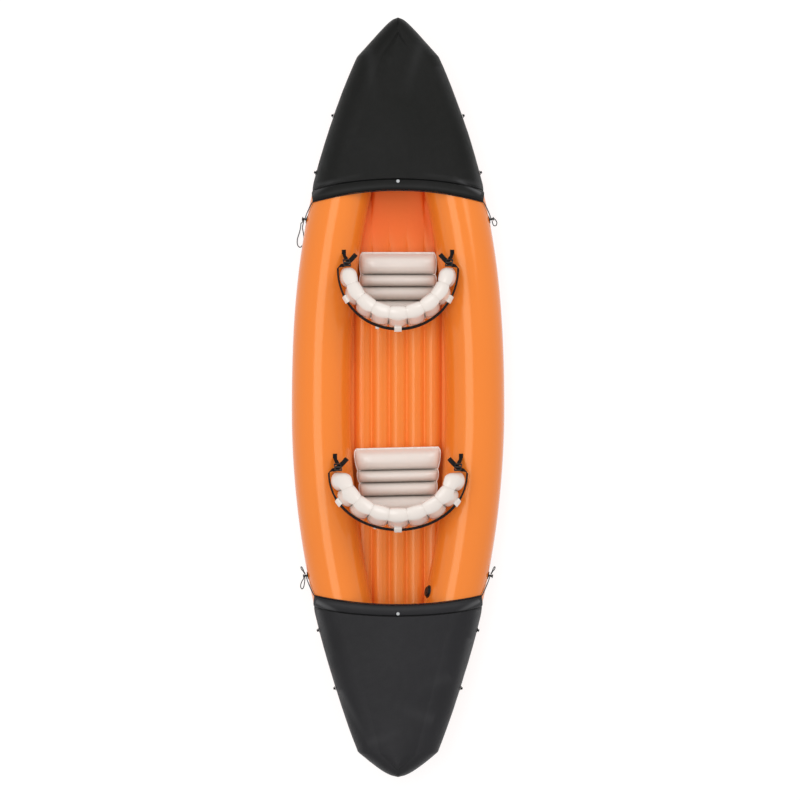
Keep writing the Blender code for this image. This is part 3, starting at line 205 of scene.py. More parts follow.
# Backrests
BACK_CHANNELS = 9
BACK_THICKNESS, BACK_WELD = 0.062, 0.010
BACK_TOP_Z, BACK_WING_TOP_Z = 0.47, 0.375
BACK_CLEARANCE = 0.004
BACK_WIDEST = 0.42
BACK_LEAN, BACK_LEAN_POWER = 0.044, 1.4
BACK_TUBE_GAP = 0.01
BACK_STEPS, BACK_CAP, BACK_CAP_STEPS = 26, 0.031, 14
BACK_RIM_FROM, BACK_RIM_RUN, BACK_RIM_FULLNESS = 0.70, 0.6, 0.82
WELD_DIP, WELD_END_DIP, WELD_FOOT_LIFT = 0.0035, 0.012, 0.006
BACK_PUCKER, BACK_PUCKER_PITCH, BACK_PUCKER_REACH = 0.0010, 0.0052, 0.008
BACK_PUCKER_MIDDLE, BACK_PUCKER_ENDS = 0.45, 0.05
BACK_PUFF = 0.0008
# How wide the painted shade is beside a backrest's weld
BACK_SHADE_WIDTH = 0.0045

# Straps, tabs, keepers and buckles
WEBBING_WIDTH, WEBBING = 0.020, 0.0018
TAB_WIDTH, TAB_GAP, TAB_DROP, TAB_WELD, TAB_SPREAD = 0.019, 0.0022, 0.022, 0.018, 0.010
STRAP_LEVEL, STRAP_WING_LEVEL, STRAP_GAP = 0.57, 0.31, 0.0012
STRAP_TILT = math.radians(25)
TAIL_OFFSETS = (
    (0.009, 0.0105, -0.0015), (0.0255, 0.0155, -0.006), (0.043, 0.029, -0.018),
    (0.058, 0.044, -0.022), (0.072, 0.060, -0.025),
)
TAIL_TWIST = 2.4
TAB_BEND, TAB_BEND_RISE, TAB_TWIST = 0.55, 0.002, 1.5
KEEPER_CHANNELS = (1, 4, 7)
KEEPER_LENGTH, KEEPER_WALL, KEEPER_MARGIN = 0.027, 0.0016, 0.0012
KEEPER_EDGE, KEEPER_SINK = 0.0006, 0.002
BUCKLE_LENGTH = 0.034
BUCKLE_OFFSET = (0.034, 0.023, -0.002)
BUCKLE_AHEAD = (-0.15, 0.86, -0.48)
BUCKLE_FACE = (0.30, 0.35, 0.88)

# Valves: for each tube its side, the valve's place along it, its CAD node and its cap's body
SEAT_VALVE_CHANNEL, SEAT_VALVE_LEVEL = 3, 0.2
VALVE_RADIUS = 0.0275
VALVE_SINK = 0.0035
VALVES = {
    "right": (1, -0.824, "right_tube_valve", "right_tube_cap"),
    "left": (-1, 1.0, "left_tube_valve", "left_tube_cap"),
}

# Seats. cushion: its front's y, the room beside it, how much narrower its rear is, its yaw.
# back: the horseshoe's rearmost y, its depth, the wings' lean, their setback from the tubes.
SEATS = {
    "front": {
        "cushion": (0.614, 0.0006, 0.0, 0.0),
        "back": (0.286, 0.259, 0.018, 0.049),
    },
    "rear": {
        "cushion": (-0.217, 0.0128, 0.068, math.radians(1.3)),
        "back": (-0.5566, 0.24, 0.042, 0.032),
    },
}


# Mesh helpers


def unit(vectors):
    """Vectors scaled to length 1."""
    vectors = np.asarray(vectors, float)
    return vectors / np.maximum(np.linalg.norm(vectors, axis=-1, keepdims=True), 1e-12)


def smooth_step(share):
    """0 below 0 and 1 above 1, with an even S between."""
    share = np.clip(share, 0.0, 1.0)
    return share * share * (3 - 2 * share)


def ripple(u, v, seed):
    """A soft uneven wave: the mean of a few sines whose directions and phases are drawn once."""
    draw = np.random.default_rng(seed)
    total = 0.0
    for _ in range(RIPPLE_SINES):
        turn, phase = draw.uniform(0, math.tau, 2)
        pitch = draw.uniform(*RIPPLE_PITCHES)
        total = total + np.sin(pitch * (u * math.cos(turn) + v * math.sin(turn)) + phase)
    return total / RIPPLE_SINES


def grid_faces(rows, columns):
    """Corner numbers of the quads of a grid, and for each corner its place in the pattern's grid."""
    i, j = np.meshgrid(np.arange(rows - 1), np.arange(columns), indexing="ij")
    corners = ((i, j), (i, j + 1), (i + 1, j + 1), (i + 1, j))
    quads = np.stack([a * columns + b % columns for a, b in corners], -1).reshape(-1, 4)
    pattern = np.stack([a * (columns + 1) + b for a, b in corners], -1).reshape(-1, 4)
    return quads, pattern


def shell(name, points, pattern=None, shade=None, fans=False, sharp=50, merge=True):
    """A closed mesh over a grid of points.

    The last column joins the first. Rows that shrink to a line or a point are closed by merging,
    and fans closes flat first and last rows with a fan. pattern holds each point's (along,
    across) place in metres, one column more than the points, and shade a number for each point.
    """
    rows, columns = points.shape[:2]
    quads, places = grid_faces(rows, columns)
    verts = points.reshape(-1, 3)
    if pattern is None:
        pattern = np.zeros((rows, columns + 1, 2))
    flat_pattern = pattern.reshape(-1, 2)
    faces = [quads]
    corner_places = [flat_pattern[places].reshape(-1, 2)]
    shades = None if shade is None else np.broadcast_to(shade, (rows, columns)).reshape(-1)
    if fans:
        for row in (0, rows - 1):
            middle = len(verts)
            verts = np.vstack([verts, points[row].mean(0)])
            ring = row * columns + np.arange(columns)
            after = row * columns + (np.arange(columns) + 1) % columns
            three = (after, ring) if row == 0 else (ring, after)
            faces.append(np.stack([np.full(columns, middle), *three], -1))
            corner_places.append(np.tile(pattern[row].mean(0), (3 * columns, 1)))
            if shades is not None:
                shades = np.append(shades, shades[ring].mean())
    mesh = bpy.data.meshes.new(name)
    mesh.from_pydata(verts.tolist(), [], [f for block in faces for f in block.tolist()])
    places_map = mesh.uv_layers.new(name="pattern")
    places_map.data.foreach_set("uv", np.vstack(corner_places).astype(np.float32).ravel())
    if shades is not None:
        attribute = mesh.attributes.new("shade", "FLOAT", "POINT")
        attribute.data.foreach_set("value", shades.astype(np.float32))
    work = bmesh.new()
    work.from_mesh(mesh)
    if merge:
        bmesh.ops.remove_doubles(work, verts=work.verts, dist=MERGE_DISTANCE)
    bmesh.ops.recalc_face_normals(work, faces=work.faces)
    if work.calc_volume(signed=True) < 0:
        bmesh.ops.reverse_faces(work, faces=work.faces)
    work.to_mesh(mesh)
    work.free()
    mesh.shade_smooth()
    mesh.set_sharp_from_angle(angle=math.radians(sharp))
    piece = bpy.data.objects.new(name, mesh)
    bpy.context.scene.collection.objects.link(piece)
    return piece


def fit_out(piece, look, slot, body, *nodes):
    """Gives a piece its finish, its body and the CAD nodes that it stands for."""
    piece.data.materials.clear()
    piece.data.materials.append(look)
    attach(piece, body)
    if nodes:
        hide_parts(*nodes)
    return piece


def frame_at(point, normal, along):
    """A 4 by 4 placement with Z on the normal and Y as near as can be to along."""
    up = unit(normal)
    side = unit(np.cross(along, up))
    placed = np.eye(4)
    placed[:3, 0], placed[:3, 1], placed[:3, 2], placed[:3, 3] = side, np.cross(up, side), up, point
    return placed


def put(points, placed):
    """Points moved by a 4 by 4 placement."""
    return points @ placed[:3, :3].T + placed[:3, 3]


def walked_along(route):
    """The length of a route from its start to each of its points."""
    return np.concatenate([[0], np.cumsum(np.linalg.norm(np.diff(route, axis=0), axis=1))])


def turned(name, profile, placed, steps=40, ribs=0, rib_depth=0.0, rib_span=(0, 0), sharp=35):
    """A profile of (radius, height) turned about the placement's Z.

    Between the two heights of rib_span the radius also waves in and out, ribs times a turn.
    """
    profile = np.array(profile, float)
    turn = np.arange(steps) * math.tau / steps
    radius = np.repeat(profile[:, :1], steps, 1)
    height = np.repeat(profile[:, 1:], steps, 1)
    if ribs:
        inside = (height > rib_span[0]) & (height < rib_span[1])
        inside = inside & (radius > RIB_INNER_RADIUS)
        radius = radius - inside * rib_depth * (0.5 - 0.5 * np.cos(ribs * turn))
    points = np.stack([radius * np.cos(turn), radius * np.sin(turn), height], -1)
    along = walked_along(profile)
    around = np.linspace(0, 1, steps + 1)[None] * profile[:, :1] * math.tau
    pattern = np.stack([np.repeat(along[:, None], steps + 1, 1), around], -1)
    return shell(name, put(points, placed), pattern, sharp=sharp)


def smooth_route(points, per_leg):
    """A curve through the points whose direction at each is that between its two neighbours."""
    points = np.asarray(points, float)
    padded = np.vstack([points[:1], points, points[-1:]])
    share = np.linspace(0, 1, per_leg, endpoint=False)[:, None]
    legs = []
    for before, near, far, after in zip(padded, padded[1:], padded[2:], padded[3:]):
        leave, arrive = near + (far - before) / 6, far - (after - near) / 6
        legs.append(
            near * (1 - share) ** 3 + 3 * leave * share * (1 - share) ** 2
            + 3 * arrive * share ** 2 * (1 - share) + far * share ** 3
        )
    return np.vstack(legs + [points[-1:]])


def even_route(route, spacing):
    """The same route with its points an equal distance apart."""
    walked = walked_along(route)
    want = np.linspace(0, walked[-1], max(2, round(walked[-1] / spacing)) + 1)
    return np.stack([np.interp(want, walked, route[:, k]) for k in range(3)], -1)


def carried_frames(route, first):
    """Two directions square to a route at each point, turned as little as can be along it."""
    tangents = unit(np.gradient(route, axis=0))
    side = unit(first - tangents[0] * np.dot(first, tangents[0]))
    sides = []
    for tangent in tangents:
        side = unit(side - tangent * np.dot(side, tangent))
        sides.append(side)
    sides = np.array(sides)
    return sides, np.cross(tangents, sides)


def round_cord(name, route):
    """A circle of the cord's radius carried along its route, with flat ends."""
    across, up = carried_frames(route, np.array(CORD_FIRST_SIDE))
    turn = np.arange(CORD_SIDES) * math.tau / CORD_SIDES
    points = (
        route[:, None] + CORD_RADIUS * (
            across[:, None] * np.cos(turn)[:, None] + up[:, None] * np.sin(turn)[:, None]
        )
    )
    turns = np.linspace(0, 1, CORD_SIDES + 1)
    pattern = np.stack(np.meshgrid(walked_along(route), turns, indexing="ij"), -1)
    return shell(name, points, pattern, fans=True, sharp=60)


# Hull form


def half_breadth(y):
    """Half the beam: a power curve either side of the widest station, cut by a rounded nose."""
    y = np.asarray(y, float)
    fore = y >= WIDEST_Y
    run = np.abs(y - WIDEST_Y)
    body = HALF_BEAM * np.where(
        fore, 1 - (run / BOW_TAPER) ** BOW_POWER, 1 - (run / STERN_TAPER) ** STERN_POWER
    )
    back = np.maximum(TIP_Y - np.abs(y), 0.0)
    slope = np.where(fore, BOW_NOSE_SLOPE, STERN_NOSE_SLOPE)
    bend = np.where(fore, BOW_NOSE_ROUND, STERN_NOSE_ROUND)
    return np.minimum(body, slope * np.sqrt(back * (back + 2 * bend)))


def end_share(y):
    """0 along the flat bottom, rising to 1 at either tip."""
    return np.maximum(np.abs(y) - FLAT_BOTTOM, 0.0) / (TIP_Y - FLAT_BOTTOM)


def rocker(y):
    """Height of the underside: it rises with the square of the way past the flat bottom."""
    return np.where(np.asarray(y) > 0, BOW_RISE, STERN_RISE) * end_share(y) ** 2


def tube_section(y):
    """Centre x and z, half width and half height of the starboard tube."""
    share = end_share(y)
    wide = TUBE_RADIUS + (TUBE_END - TUBE_RADIUS) * share ** 3
    tall = TUBE_RADIUS + (TUBE_END - TUBE_RADIUS) * share ** 2
    centre_z = rocker(y) + tall * math.cos(math.pi / TUBE_FACETS)
    return half_breadth(y) - wide, centre_z, wide, tall


def on_tube(y, angle, out=0.0):
    """A point at an angle up from the tube's outer side, out from its skin."""
    x, z, wide, tall = tube_section(y)
    return np.stack(np.broadcast_arrays(
        x + (wide + out) * np.cos(angle), y, z + (tall + out) * np.sin(angle)
    ), -1)


def tube_normal(y, angle):
    """The skin's outward direction, from two small steps along it."""
    step = 1e-4
    along = on_tube(y + step, angle) - on_tube(y - step, angle)
    around = on_tube(y, angle + step) - on_tube(y, angle - step)
    normal = unit(np.cross(around, along))
    outward = np.array([math.cos(angle), 0, math.sin(angle)])
    return normal if normal @ outward > 0 else -normal


def mirrored(vectors, side):
    """The same places or directions on the port side where side is -1."""
    return np.asarray(vectors, float) * np.array([side, 1, 1])


def skin_relief(y, angle, side):
    """How far the skin stands off its round section.

    Two welded seams run along the tube as low flat bands. Beside them the skin puckers in waves
    across the seam, which die away within a few centimetres and grow towards the curved ends.
    Round a valve the skin is drawn flat.
    """
    _, _, wide, _ = tube_section(y)
    seed = 3 if side > 0 else 5
    relief = SKIN_WAVE * ripple(y * 9, angle * 2, seed)
    for index, seam in enumerate(SEAM_ANGLES):
        off = np.abs((angle - seam + math.pi) % math.tau - math.pi) * wide
        relief = relief + SEAM_HEIGHT * smooth_step((SEAM_HALF_WIDTH - off) / SEAM_EDGE + 0.5)
        near = np.exp(-np.maximum(off - SEAM_HALF_WIDTH, 0) / SKIN_PUCKER_REACH)
        uneven = 2.2 * ripple(y * 21, angle, seed + index + 7)
        wave = np.sin(y / SKIN_PUCKER_PITCH + uneven)
        relief = relief + SKIN_PUCKER * near * wave * (0.25 + end_share(y))
    for valve_side, valve_y, _, _ in VALVES.values():
        if valve_side == side:
            around = (angle - TUBE_VALVE_ANGLE) * wide
            off = np.sqrt((y - valve_y) ** 2 + around ** 2)
            flat = around ** 2 / (2 * wide) - VALVE_FLAT_SINK
            relief = relief + smooth_step((VALVE_FLAT_RADIUS - off) / VALVE_FLAT_EDGE) * flat
    return relief


def skin_point(y, angle, side):
    """A point of the finished skin: flat against the other tube, and on the ground below."""
    points = on_tube(y, angle, skin_relief(y, angle, side))
    points[..., 0] = np.maximum(points[..., 0], MIDDLE_GAP)
    points[..., 2] = np.maximum(points[..., 2], rocker(y))
    return mirrored(points, side)


def side_tube(name, side, look):
    """Rows of the skin's round section from tip to tip, closer together towards the tips.

    The shade is 1 low on the inner side, between the covers, and fades out round the section: painted
    light, a lighter colour where the floor's hollow shades the skin. The two tubes lie flat on each
    other at the tips, so points that meet there aren't merged.
    """
    share = np.linspace(-1, 1, TUBE_ROWS)
    y = (TIP_Y - TUBE_TIP_GAP) * (0.6 * share + 0.4 * np.sin(math.pi / 2 * share))
    angle = np.arange(TUBE_COLUMNS) * math.tau / TUBE_COLUMNS
    rows, columns = np.meshgrid(y, angle, indexing="ij")
    points = skin_point(rows, columns, side)
    walk = np.linspace(0, math.tau * TUBE_RADIUS, TUBE_COLUMNS + 1)
    pattern = np.stack(np.meshgrid(y, walk, indexing="ij"), -1)
    # Painted light: the low inner side, in the floor's shade, gets a lighter colour.
    inner = smooth_step((np.cos(columns - INNER_SIDE_ANGLE) - 0.55) / 0.4)
    low = inner * smooth_step((INNER_SIDE_END_Y - np.abs(rows)) / INNER_SIDE_FADE)
    return fit_out(
        shell(name, points, pattern, low, fans=True, merge=False), look, "hull_orange", "hull",
        "hull_tube_right" if side > 0 else "hull_tube_left",
    )


def inner_x(y, z):
    """Where the tube's lower inner wall stands at height z."""
    x, centre_z, wide, tall = tube_section(y)
    drop = np.clip((centre_z - z) / tall, 0, 1)
    return x - wide * np.sqrt(1 - drop ** 2)


def air_floor(look):
    """Five round channels side by side between flat webs, out to the tubes' walls.

    A channel's height is a half ellipse across its pitch. The welds between channels are deep amidships
    and shallow under the bow, with a blunt V of fill in each, and they pucker: short waves run across
    each weld. The shade is 1 in a deep weld and -0.9 where they are shallow; in the deep welds and on
    the webs it paints light, a lighter colour in their shaded hollows.
    """
    y = np.linspace(-FLOOR_END_Y, FLOOR_END_Y, FLOOR_ROWS)[:, None]
    share = np.linspace(-1, 1, FLOOR_COLUMNS)[None]
    edge = inner_x(y, rocker(y) + FLOOR_WELD_Z) - FLOOR_WALL_GAP
    widest = inner_x(WIDEST_Y, rocker(WIDEST_Y) + FLOOR_WELD_Z) - FLOOR_WALL_GAP
    pitch = 2 * (widest - FLOOR_WEB) / CHANNELS
    x = share * edge
    to_wall = edge - np.abs(x)
    place = (x / pitch + CHANNELS / 2) % 1.0
    on_channel = np.abs(x) < CHANNELS * pitch / 2
    swell = np.where(on_channel, np.sqrt(np.maximum(0, 1 - (2 * place - 1) ** 2)), 0.0)
    shallow = smooth_step((y - SHALLOW_FROM) / SHALLOW_RUN)
    weld = FLOOR_WELD_Z + SHALLOW_RISE * shallow * smooth_step(to_wall / SHALLOW_SIDE)
    to_weld = np.minimum(place, 1 - place) * pitch
    filled = FLOOR_WELD_Z + WELD_FILL + np.where(on_channel, WELD_SLOPE * to_weld, 0.0)
    top = np.maximum(weld + (FLOOR_CREST_Z - weld) * swell, np.minimum(filled, FLOOR_CREST_Z))
    uneven = 3 * ripple(y * 30, x * 20, 11)
    pucker = np.exp(-to_weld / FLOOR_PUCKER_REACH) * np.sin(y / FLOOR_PUCKER_PITCH + uneven)
    top = top - FLOOR_PUCKER * pucker * (1 - 0.7 * shallow) * on_channel
    top = top - WELD_FILL * smooth_step((FLOOR_TUCK - to_wall) / FLOOR_TUCK)
    upper = np.stack(np.broadcast_arrays(x, y, top + rocker(y)), -1)
    foot_x = inner_x(y, rocker(y) + FLOOR_FOOT_HEIGHT) - FLOOR_FOOT_GAP
    lower_x = share[:, ::FLOOR_FOOT_STEP] * foot_x
    lower = np.stack(np.broadcast_arrays(lower_x, y, FLOOR_UNDERSIDE + rocker(y)), -1)[:, ::-1]
    points = np.concatenate([upper, lower], 1)
    across = np.concatenate([x + 0 * y, lower_x[:, ::-1]], 1)
    across = np.concatenate([across, across[:, :1]], 1)
    pattern = np.stack(np.broadcast_arrays(y, across), -1)
    # Painted light: the welds and the webs beside the tubes get a lighter colour in their shaded
    # hollows.
    crease = np.where(on_channel, np.exp(-to_weld / FLOOR_PAINTED_LIGHT_REACH), 0.8) * (1 - shallow)
    crease = crease - 0.9 * shallow
    shade = np.concatenate([crease, np.zeros((len(y), lower_x.shape[1]))], 1)
    return fit_out(
        shell("floor_skin", points, pattern, shade, fans=True), look, "hull_orange", "hull",
        "air_floor",
    )


# Covers


def cover_edge_angle(y, rim):
    """How far round the tube the cover reaches: high at its corner, below the beam beyond it."""
    share = smooth_step((np.abs(y) - (rim[0] - rim[1])) / CORNER_RUN)
    return CORNER_ANGLE + (EDGE_ANGLE - CORNER_ANGLE) * share


def cover_point(y, across, out, rim):
    """A point of the cloth: a crowned deck between the tubes, then round a tube, by arc length."""
    x, z, wide, tall = tube_section(y)
    deck = np.maximum(x, 0.0)
    start = np.arccos(np.maximum(-x, 0.0) / (wide + out))
    end = np.maximum(cover_edge_angle(y, rim), -0.5 * start)
    arc = wide * (start - end)
    share = deck / (deck + arc)
    far = np.abs(across)
    side = np.where(across >= 0, 1.0, -1.0)
    on_deck = far < share
    part = far / np.maximum(share, 1e-9)
    angle = start - (start - end) * (far - share) / (1 - share)
    px = np.where(on_deck, deck * part, x + (wide + out) * np.cos(angle))
    pz = np.where(
        on_deck, z + tall + out + COVER_CROWN * (1 - part ** 2), z + (tall + out) * np.sin(angle)
    )
    return side * px, pz


def rim_y(across, sign, rim):
    """The rim's line: an arc, nearest the seats at its corners."""
    x, _ = cover_point(np.array(sign * rim[0]), across, 0.0, rim)
    return sign * (rim[0] - rim[1] * (x / RIM_HALF_WIDTH) ** 2)


def fold(x, y, start, end, width, height):
    """A soft ridge from one point of the plan towards another, fading out on the way."""
    start, end = np.array(start), np.array(end)
    run = end - start
    length = np.linalg.norm(run)
    along = ((x - start[0]) * run[0] + (y - start[1]) * run[1]) / length
    aside = ((x - start[0]) * run[1] - (y - start[1]) * run[0]) / length
    fade = smooth_step(along / FOLD_START_RUN + 0.5) * np.clip(1 - along / length, 0, 1)
    return height * np.exp(-(aside / width) ** 2) * fade


def cover_relief(x, y, back, end):
    """Height of the cloth above its smooth form, and its painted light and shade: painted shade in the
    hem's crease, darker towards the rim, and painted highlights on the fold ridges and along the hem's
    roll.

    The rolled hem is a low half ellipse behind the rim that ends in a crease. Ridges run in from
    the corners and along the outline, and a faint uneven wave lies over all of it.
    """
    share = back / HEM_WIDTH
    hem = HEM_HEIGHT * np.sqrt(np.clip(1 - (2 * share - 1) ** 2, 0, None)) * (share < 1)
    crease = np.exp(-((back - HEM_WIDTH) / HEM_CREASE_WIDTH) ** 2)
    relief = hem - HEM_CREASE_DEPTH * crease
    ridges = 0.0
    for start, stop, width, height in FOLDS[end]:
        ridge = FOLD_SCALE * fold(x, y, start, stop, width, height)
        relief = relief + ridge
        ridges = ridges + ridge
    loose = smooth_step(back / CLOTH_LOOSE)
    relief = relief + CLOTH_WAVE * ripple(x * 26, y * 19, 23 if end == "bow" else 29) * loose
    relief = relief + CLOTH_RIPPLE * ripple(x * 90, y * 70, 31) * loose
    # A painted highlight along the hem's roll.
    roll = np.exp(-((back - HEM_ROLL_LINE * HEM_WIDTH) / HEM_ROLL_WIDTH) ** 2)
    # Painted highlights on the fold ridges.
    fold_highlight = np.clip(ridges / FOLD_FULL_HIGHLIGHT, 0, FOLD_MOST_HIGHLIGHT)
    # Painted shade in the hem's crease, and the cloth laid darker towards the rim.
    return relief, fold_highlight + HEM_ROLL_HIGHLIGHT * roll - crease - np.exp(-back / RIM_DARKENING)


def cloth_faces(end, sign, rim):
    """The cloth's outer and inner face, each point's distance behind the rim, and the shade.

    Rows run from the rim's arc to the tip, closer together in the hem; columns follow the deck
    and the tubes' round by arc length. The relief dies away at the lower edges and at the tip.
    """
    across = np.linspace(-1, 1, COVER_COLUMNS)
    run = np.concatenate([
        np.linspace(0, HEM_SHARE, HEM_ROWS, endpoint=False),
        np.linspace(HEM_SHARE, 1, COVER_ROWS) ** COVER_ROW_POWER,
    ])
    start = rim_y(across, sign, rim)[None]
    tip = sign * (TIP_Y - COVER_TIP_GAP)
    y = start + (tip - start) * run[:, None]
    back = np.abs(y - start)
    wide_across = across[None] + 0 * y
    to_edge = (1.0 - np.abs(wide_across)) / COVER_EDGE_FADE
    to_tip = TIP_Y - np.abs(y)
    near_tip = np.clip(1 - to_tip / (TIP_Y - BOW_RIM[0]), 0, 1) ** 6
    faces = []
    for out in (COVER_GAP + COVER_CLOTH, COVER_GAP):
        x, _ = cover_point(y, wide_across, out, rim)
        lift, tone = cover_relief(x, y, back, end)
        lift = lift * smooth_step(to_edge + COVER_EDGE_RELIEF)
        lift = lift * smooth_step(to_tip / COVER_TIP_FADE)
        x, z = cover_point(y, wide_across, out + lift, rim)
        faces.append(np.stack([x, y + sign * out * near_tip, z], -1))
    return *faces, back, tone


def end_cover(end, look):
    """Two faces of cloth a little apart, from the rim to the tip, joined along every edge."""
    sign, rim = (1, BOW_RIM) if end == "bow" else (-1, STERN_RIM)
    outer, inner, back, tone = cloth_faces(end, sign, rim)
    loops = np.concatenate([outer, inner[:, ::-1]], 1)
    first, last = (
        np.concatenate([seam, seam[::-1]])[None] for seam in (outer[[0, -1]] + inner[[0, -1]]) / 2
    )
    loops = np.concatenate([first, loops, last], 0)
    past_hem = outer[HEM_ROWS + 6]
    walk = walked_along(past_hem)
    walk = np.concatenate([walk, walk[::-1], walk[:1]])
    back_rows = np.concatenate([back[:1], back, back[-1:]], 0)
    back_rows = np.concatenate([back_rows, back_rows[:, ::-1], back_rows[:, :1]], 1)
    pattern = np.stack([back_rows, np.broadcast_to(walk, back_rows.shape)], -1)
    shade = np.concatenate([tone, tone[:, ::-1]], 1)
    shade = np.concatenate([shade[:1], shade, shade[-1:]], 0)
    cover = shell(f"{end}_cover_cloth", loops, pattern, shade, sharp=60)
    fit_out(cover, look, "cover_black", "hull", f"{end}_cover")
    return cover


# Cords


def rim_cord_route(sign, rim):
    """From an anchor along the tube, round the rim and down to the other anchor."""
    across = np.linspace(0, 1, 60)
    y = rim_y(across, sign, rim) - sign * (CORD_RADIUS + FIT)
    x, z = cover_point(y, across, COVER_GAP + CORD_RADIUS, rim)
    top = np.stack([x, y, z], -1)
    corner = abs(top[-1, 1])
    share = np.linspace(0, 1, 20)[1:]
    stop = ANCHOR_Y + ANCHOR_POST_RADIUS + CORD_RADIUS + FIT
    low, high = COVER_GAP + CORD_RADIUS, ANCHOR_PATCH + 2 * CORD_RADIUS + FIT
    angle = CORNER_ANGLE + (ANCHOR_ANGLE - CORNER_ANGLE) * share
    side = on_tube(
        sign * (corner + (stop - corner) * share), angle, low + (high - low) * share ** 2
    )
    half = np.vstack([top, side])
    return even_route(np.vstack([mirrored(half[:0:-1], -1), half]), RIM_CORD_STEP)


# Each loop's points are offsets from its anchor's head, outwards, to the bow and up
LONG_LOOP = (
    (0.004, -0.014, -0.028), (0.009, -0.016, -0.050), (0.011, -0.020, -0.082),
    (0.013, -0.031, -0.110), (0.018, -0.052, -0.1235), (0.027, -0.082, -0.1235),
    (0.026, -0.106, -0.1235), (0.015, -0.116, -0.1235), (0.004, -0.104, -0.1235),
    (0.000, -0.082, -0.1225), (0.000, -0.062, -0.108), (0.002, -0.047, -0.080),
    (0.003, -0.036, -0.050), (0.001, -0.026, -0.024),
)
SMALL_LOOP = (
    (0.003, 0.003, -0.021), (0.011, -0.003, -0.031), (0.017, -0.014, -0.037),
    (0.014, -0.026, -0.036), (0.005, -0.028, -0.029), (0.000, -0.022, -0.018),
)
DROP_LOOP = (
    (0.004, -0.014, -0.026), (0.010, -0.024, -0.038), (0.015, -0.038, -0.049),
    (0.015, -0.051, -0.055), (0.009, -0.057, -0.055), (0.003, -0.049, -0.048),
    (0.000, -0.037, -0.033), (-0.002, -0.026, -0.017),
)
FOLDED_END = (
    (0.001, 0.020, 0.000), (0.005, 0.031, -0.002), (0.010, 0.039, -0.006),
    (0.0135, 0.038, -0.011), (0.0115, 0.029, -0.015), (0.0045, 0.021, -0.013),
)
# Node, end, side, points, and the angles from upright at which it leaves and comes back
LOOPS = (
    ("bow_long_loop", 1, -1, LONG_LOOP, 180, -125),
    ("bow_small_loop", 1, 1, SMALL_LOOP, 170, -120),
    ("stern_drop_loop", -1, -1, DROP_LOOP, 180, -110),
    ("stern_folded_end_left", -1, -1, FOLDED_END, 80, 140),
    ("stern_folded_end_right", -1, 1, FOLDED_END, 80, 140),
)


def anchor_place(sign, side):
    """Where an anchor stands on its tube, and which way."""
    y = sign * ANCHOR_Y
    point = on_tube(y, ANCHOR_ANGLE)
    return mirrored(point, side), mirrored(tube_normal(y, ANCHOR_ANGLE), side)


def loop_end(sign, side, around):
    """Two points beside an anchor's post, the second clear of its head."""
    point, normal = anchor_place(sign, side)
    up = unit(np.array([0, 0, 1.0]) - normal * normal[2])
    arm = up * math.cos(around) + np.array([0, 1.0, 0]) * math.sin(around)
    base = point + normal * (ANCHOR_PATCH + ANCHOR_POST - CORD_RADIUS * 2)
    near = ANCHOR_POST_RADIUS + CORD_RADIUS + FIT
    return base + arm * near, base + arm * (ANCHOR_HEAD_RADIUS + CORD_RADIUS * 1.5)


def hanging_loop(name, sign, side, offsets, leaves, returns, look):
    """A loop of cord from the anchor's post, out past its head and back under it."""
    point, normal = anchor_place(sign, side)
    head = point + normal * (ANCHOR_PATCH + ANCHOR_POST)
    start, start_clear = loop_end(sign, side, math.radians(leaves))
    stop, stop_clear = loop_end(sign, side, math.radians(returns))
    middle = head + mirrored(offsets, side)
    route = smooth_route(np.vstack([start, start_clear, middle, stop_clear, stop]), 12)
    route = even_route(route, LOOP_STEP)
    loop = round_cord(name + "_cord", route)
    fit_out(loop, look, "cord_black", "hull", name)


# Fittings


def cord_anchor(end, where, look):
    """A rounded button on a post on a round patch that hugs the tube."""
    sign, side = (1 if end == "bow" else -1), (-1 if where == "left" else 1)
    top = ANCHOR_PATCH + ANCHOR_POST
    profile = (
        (0, 0), (0.0165, 0), (ANCHOR_PATCH_RADIUS, 0.0005), (0.0166, 0.0010), (0.0135, 0.0016),
        (0.0075, 0.0022), (0.0055, ANCHOR_PATCH), (ANCHOR_POST_RADIUS, 0.0048),
        (ANCHOR_POST_RADIUS, top - 0.001), (0.0052, top), (0.0085, top),
        (ANCHOR_HEAD_RADIUS, top + 0.0008), (0.0088, top + 0.002), (0.0076, top + 0.0031),
        (0.0052, top + 0.0038), (0.0022, top + ANCHOR_HEAD), (0, top + ANCHOR_HEAD),
    )
    point, normal = anchor_place(sign, side)
    placed = frame_at(point + normal * FIT, normal, (0, 1, 0))
    anchor = turned(f"{end}_anchor_{where}", profile, placed)
    fit_out(anchor, look, "plastic_black", "hull", f"{end}_cord_anchor_{where}")


def cover_button(end, where, index, look):
    """A small mushroom-shaped toggle on a washer."""
    side = -1 if where == "left" else 1
    y = BUTTON_YS[end][index - 1]
    profile = (
        (0, 0), (0.0095, 0), (0.010, 0.0005), (0.0098, 0.0014), (0.0088, 0.002), (0.0048, 0.0023),
        (0.0042, 0.0032), (0.0048, 0.0045), (0.0060, 0.0056), (0.0058, 0.0072), (0.0044, 0.0084),
        (0.0022, 0.009), (0, 0.009),
    )
    out = COVER_GAP + BUTTON_STANDOFF + 2 * FIT
    point = mirrored(on_tube(y, BUTTON_ANGLE, out), side)
    normal = mirrored(tube_normal(y, BUTTON_ANGLE), side)
    button = turned(f"{end}_toggle_{where}_{index}", profile, frame_at(point, normal, (0, 1, 0)), 28)
    fit_out(button, look, "plastic_black", "hull", f"{end}_cover_button_{where}_{index}")


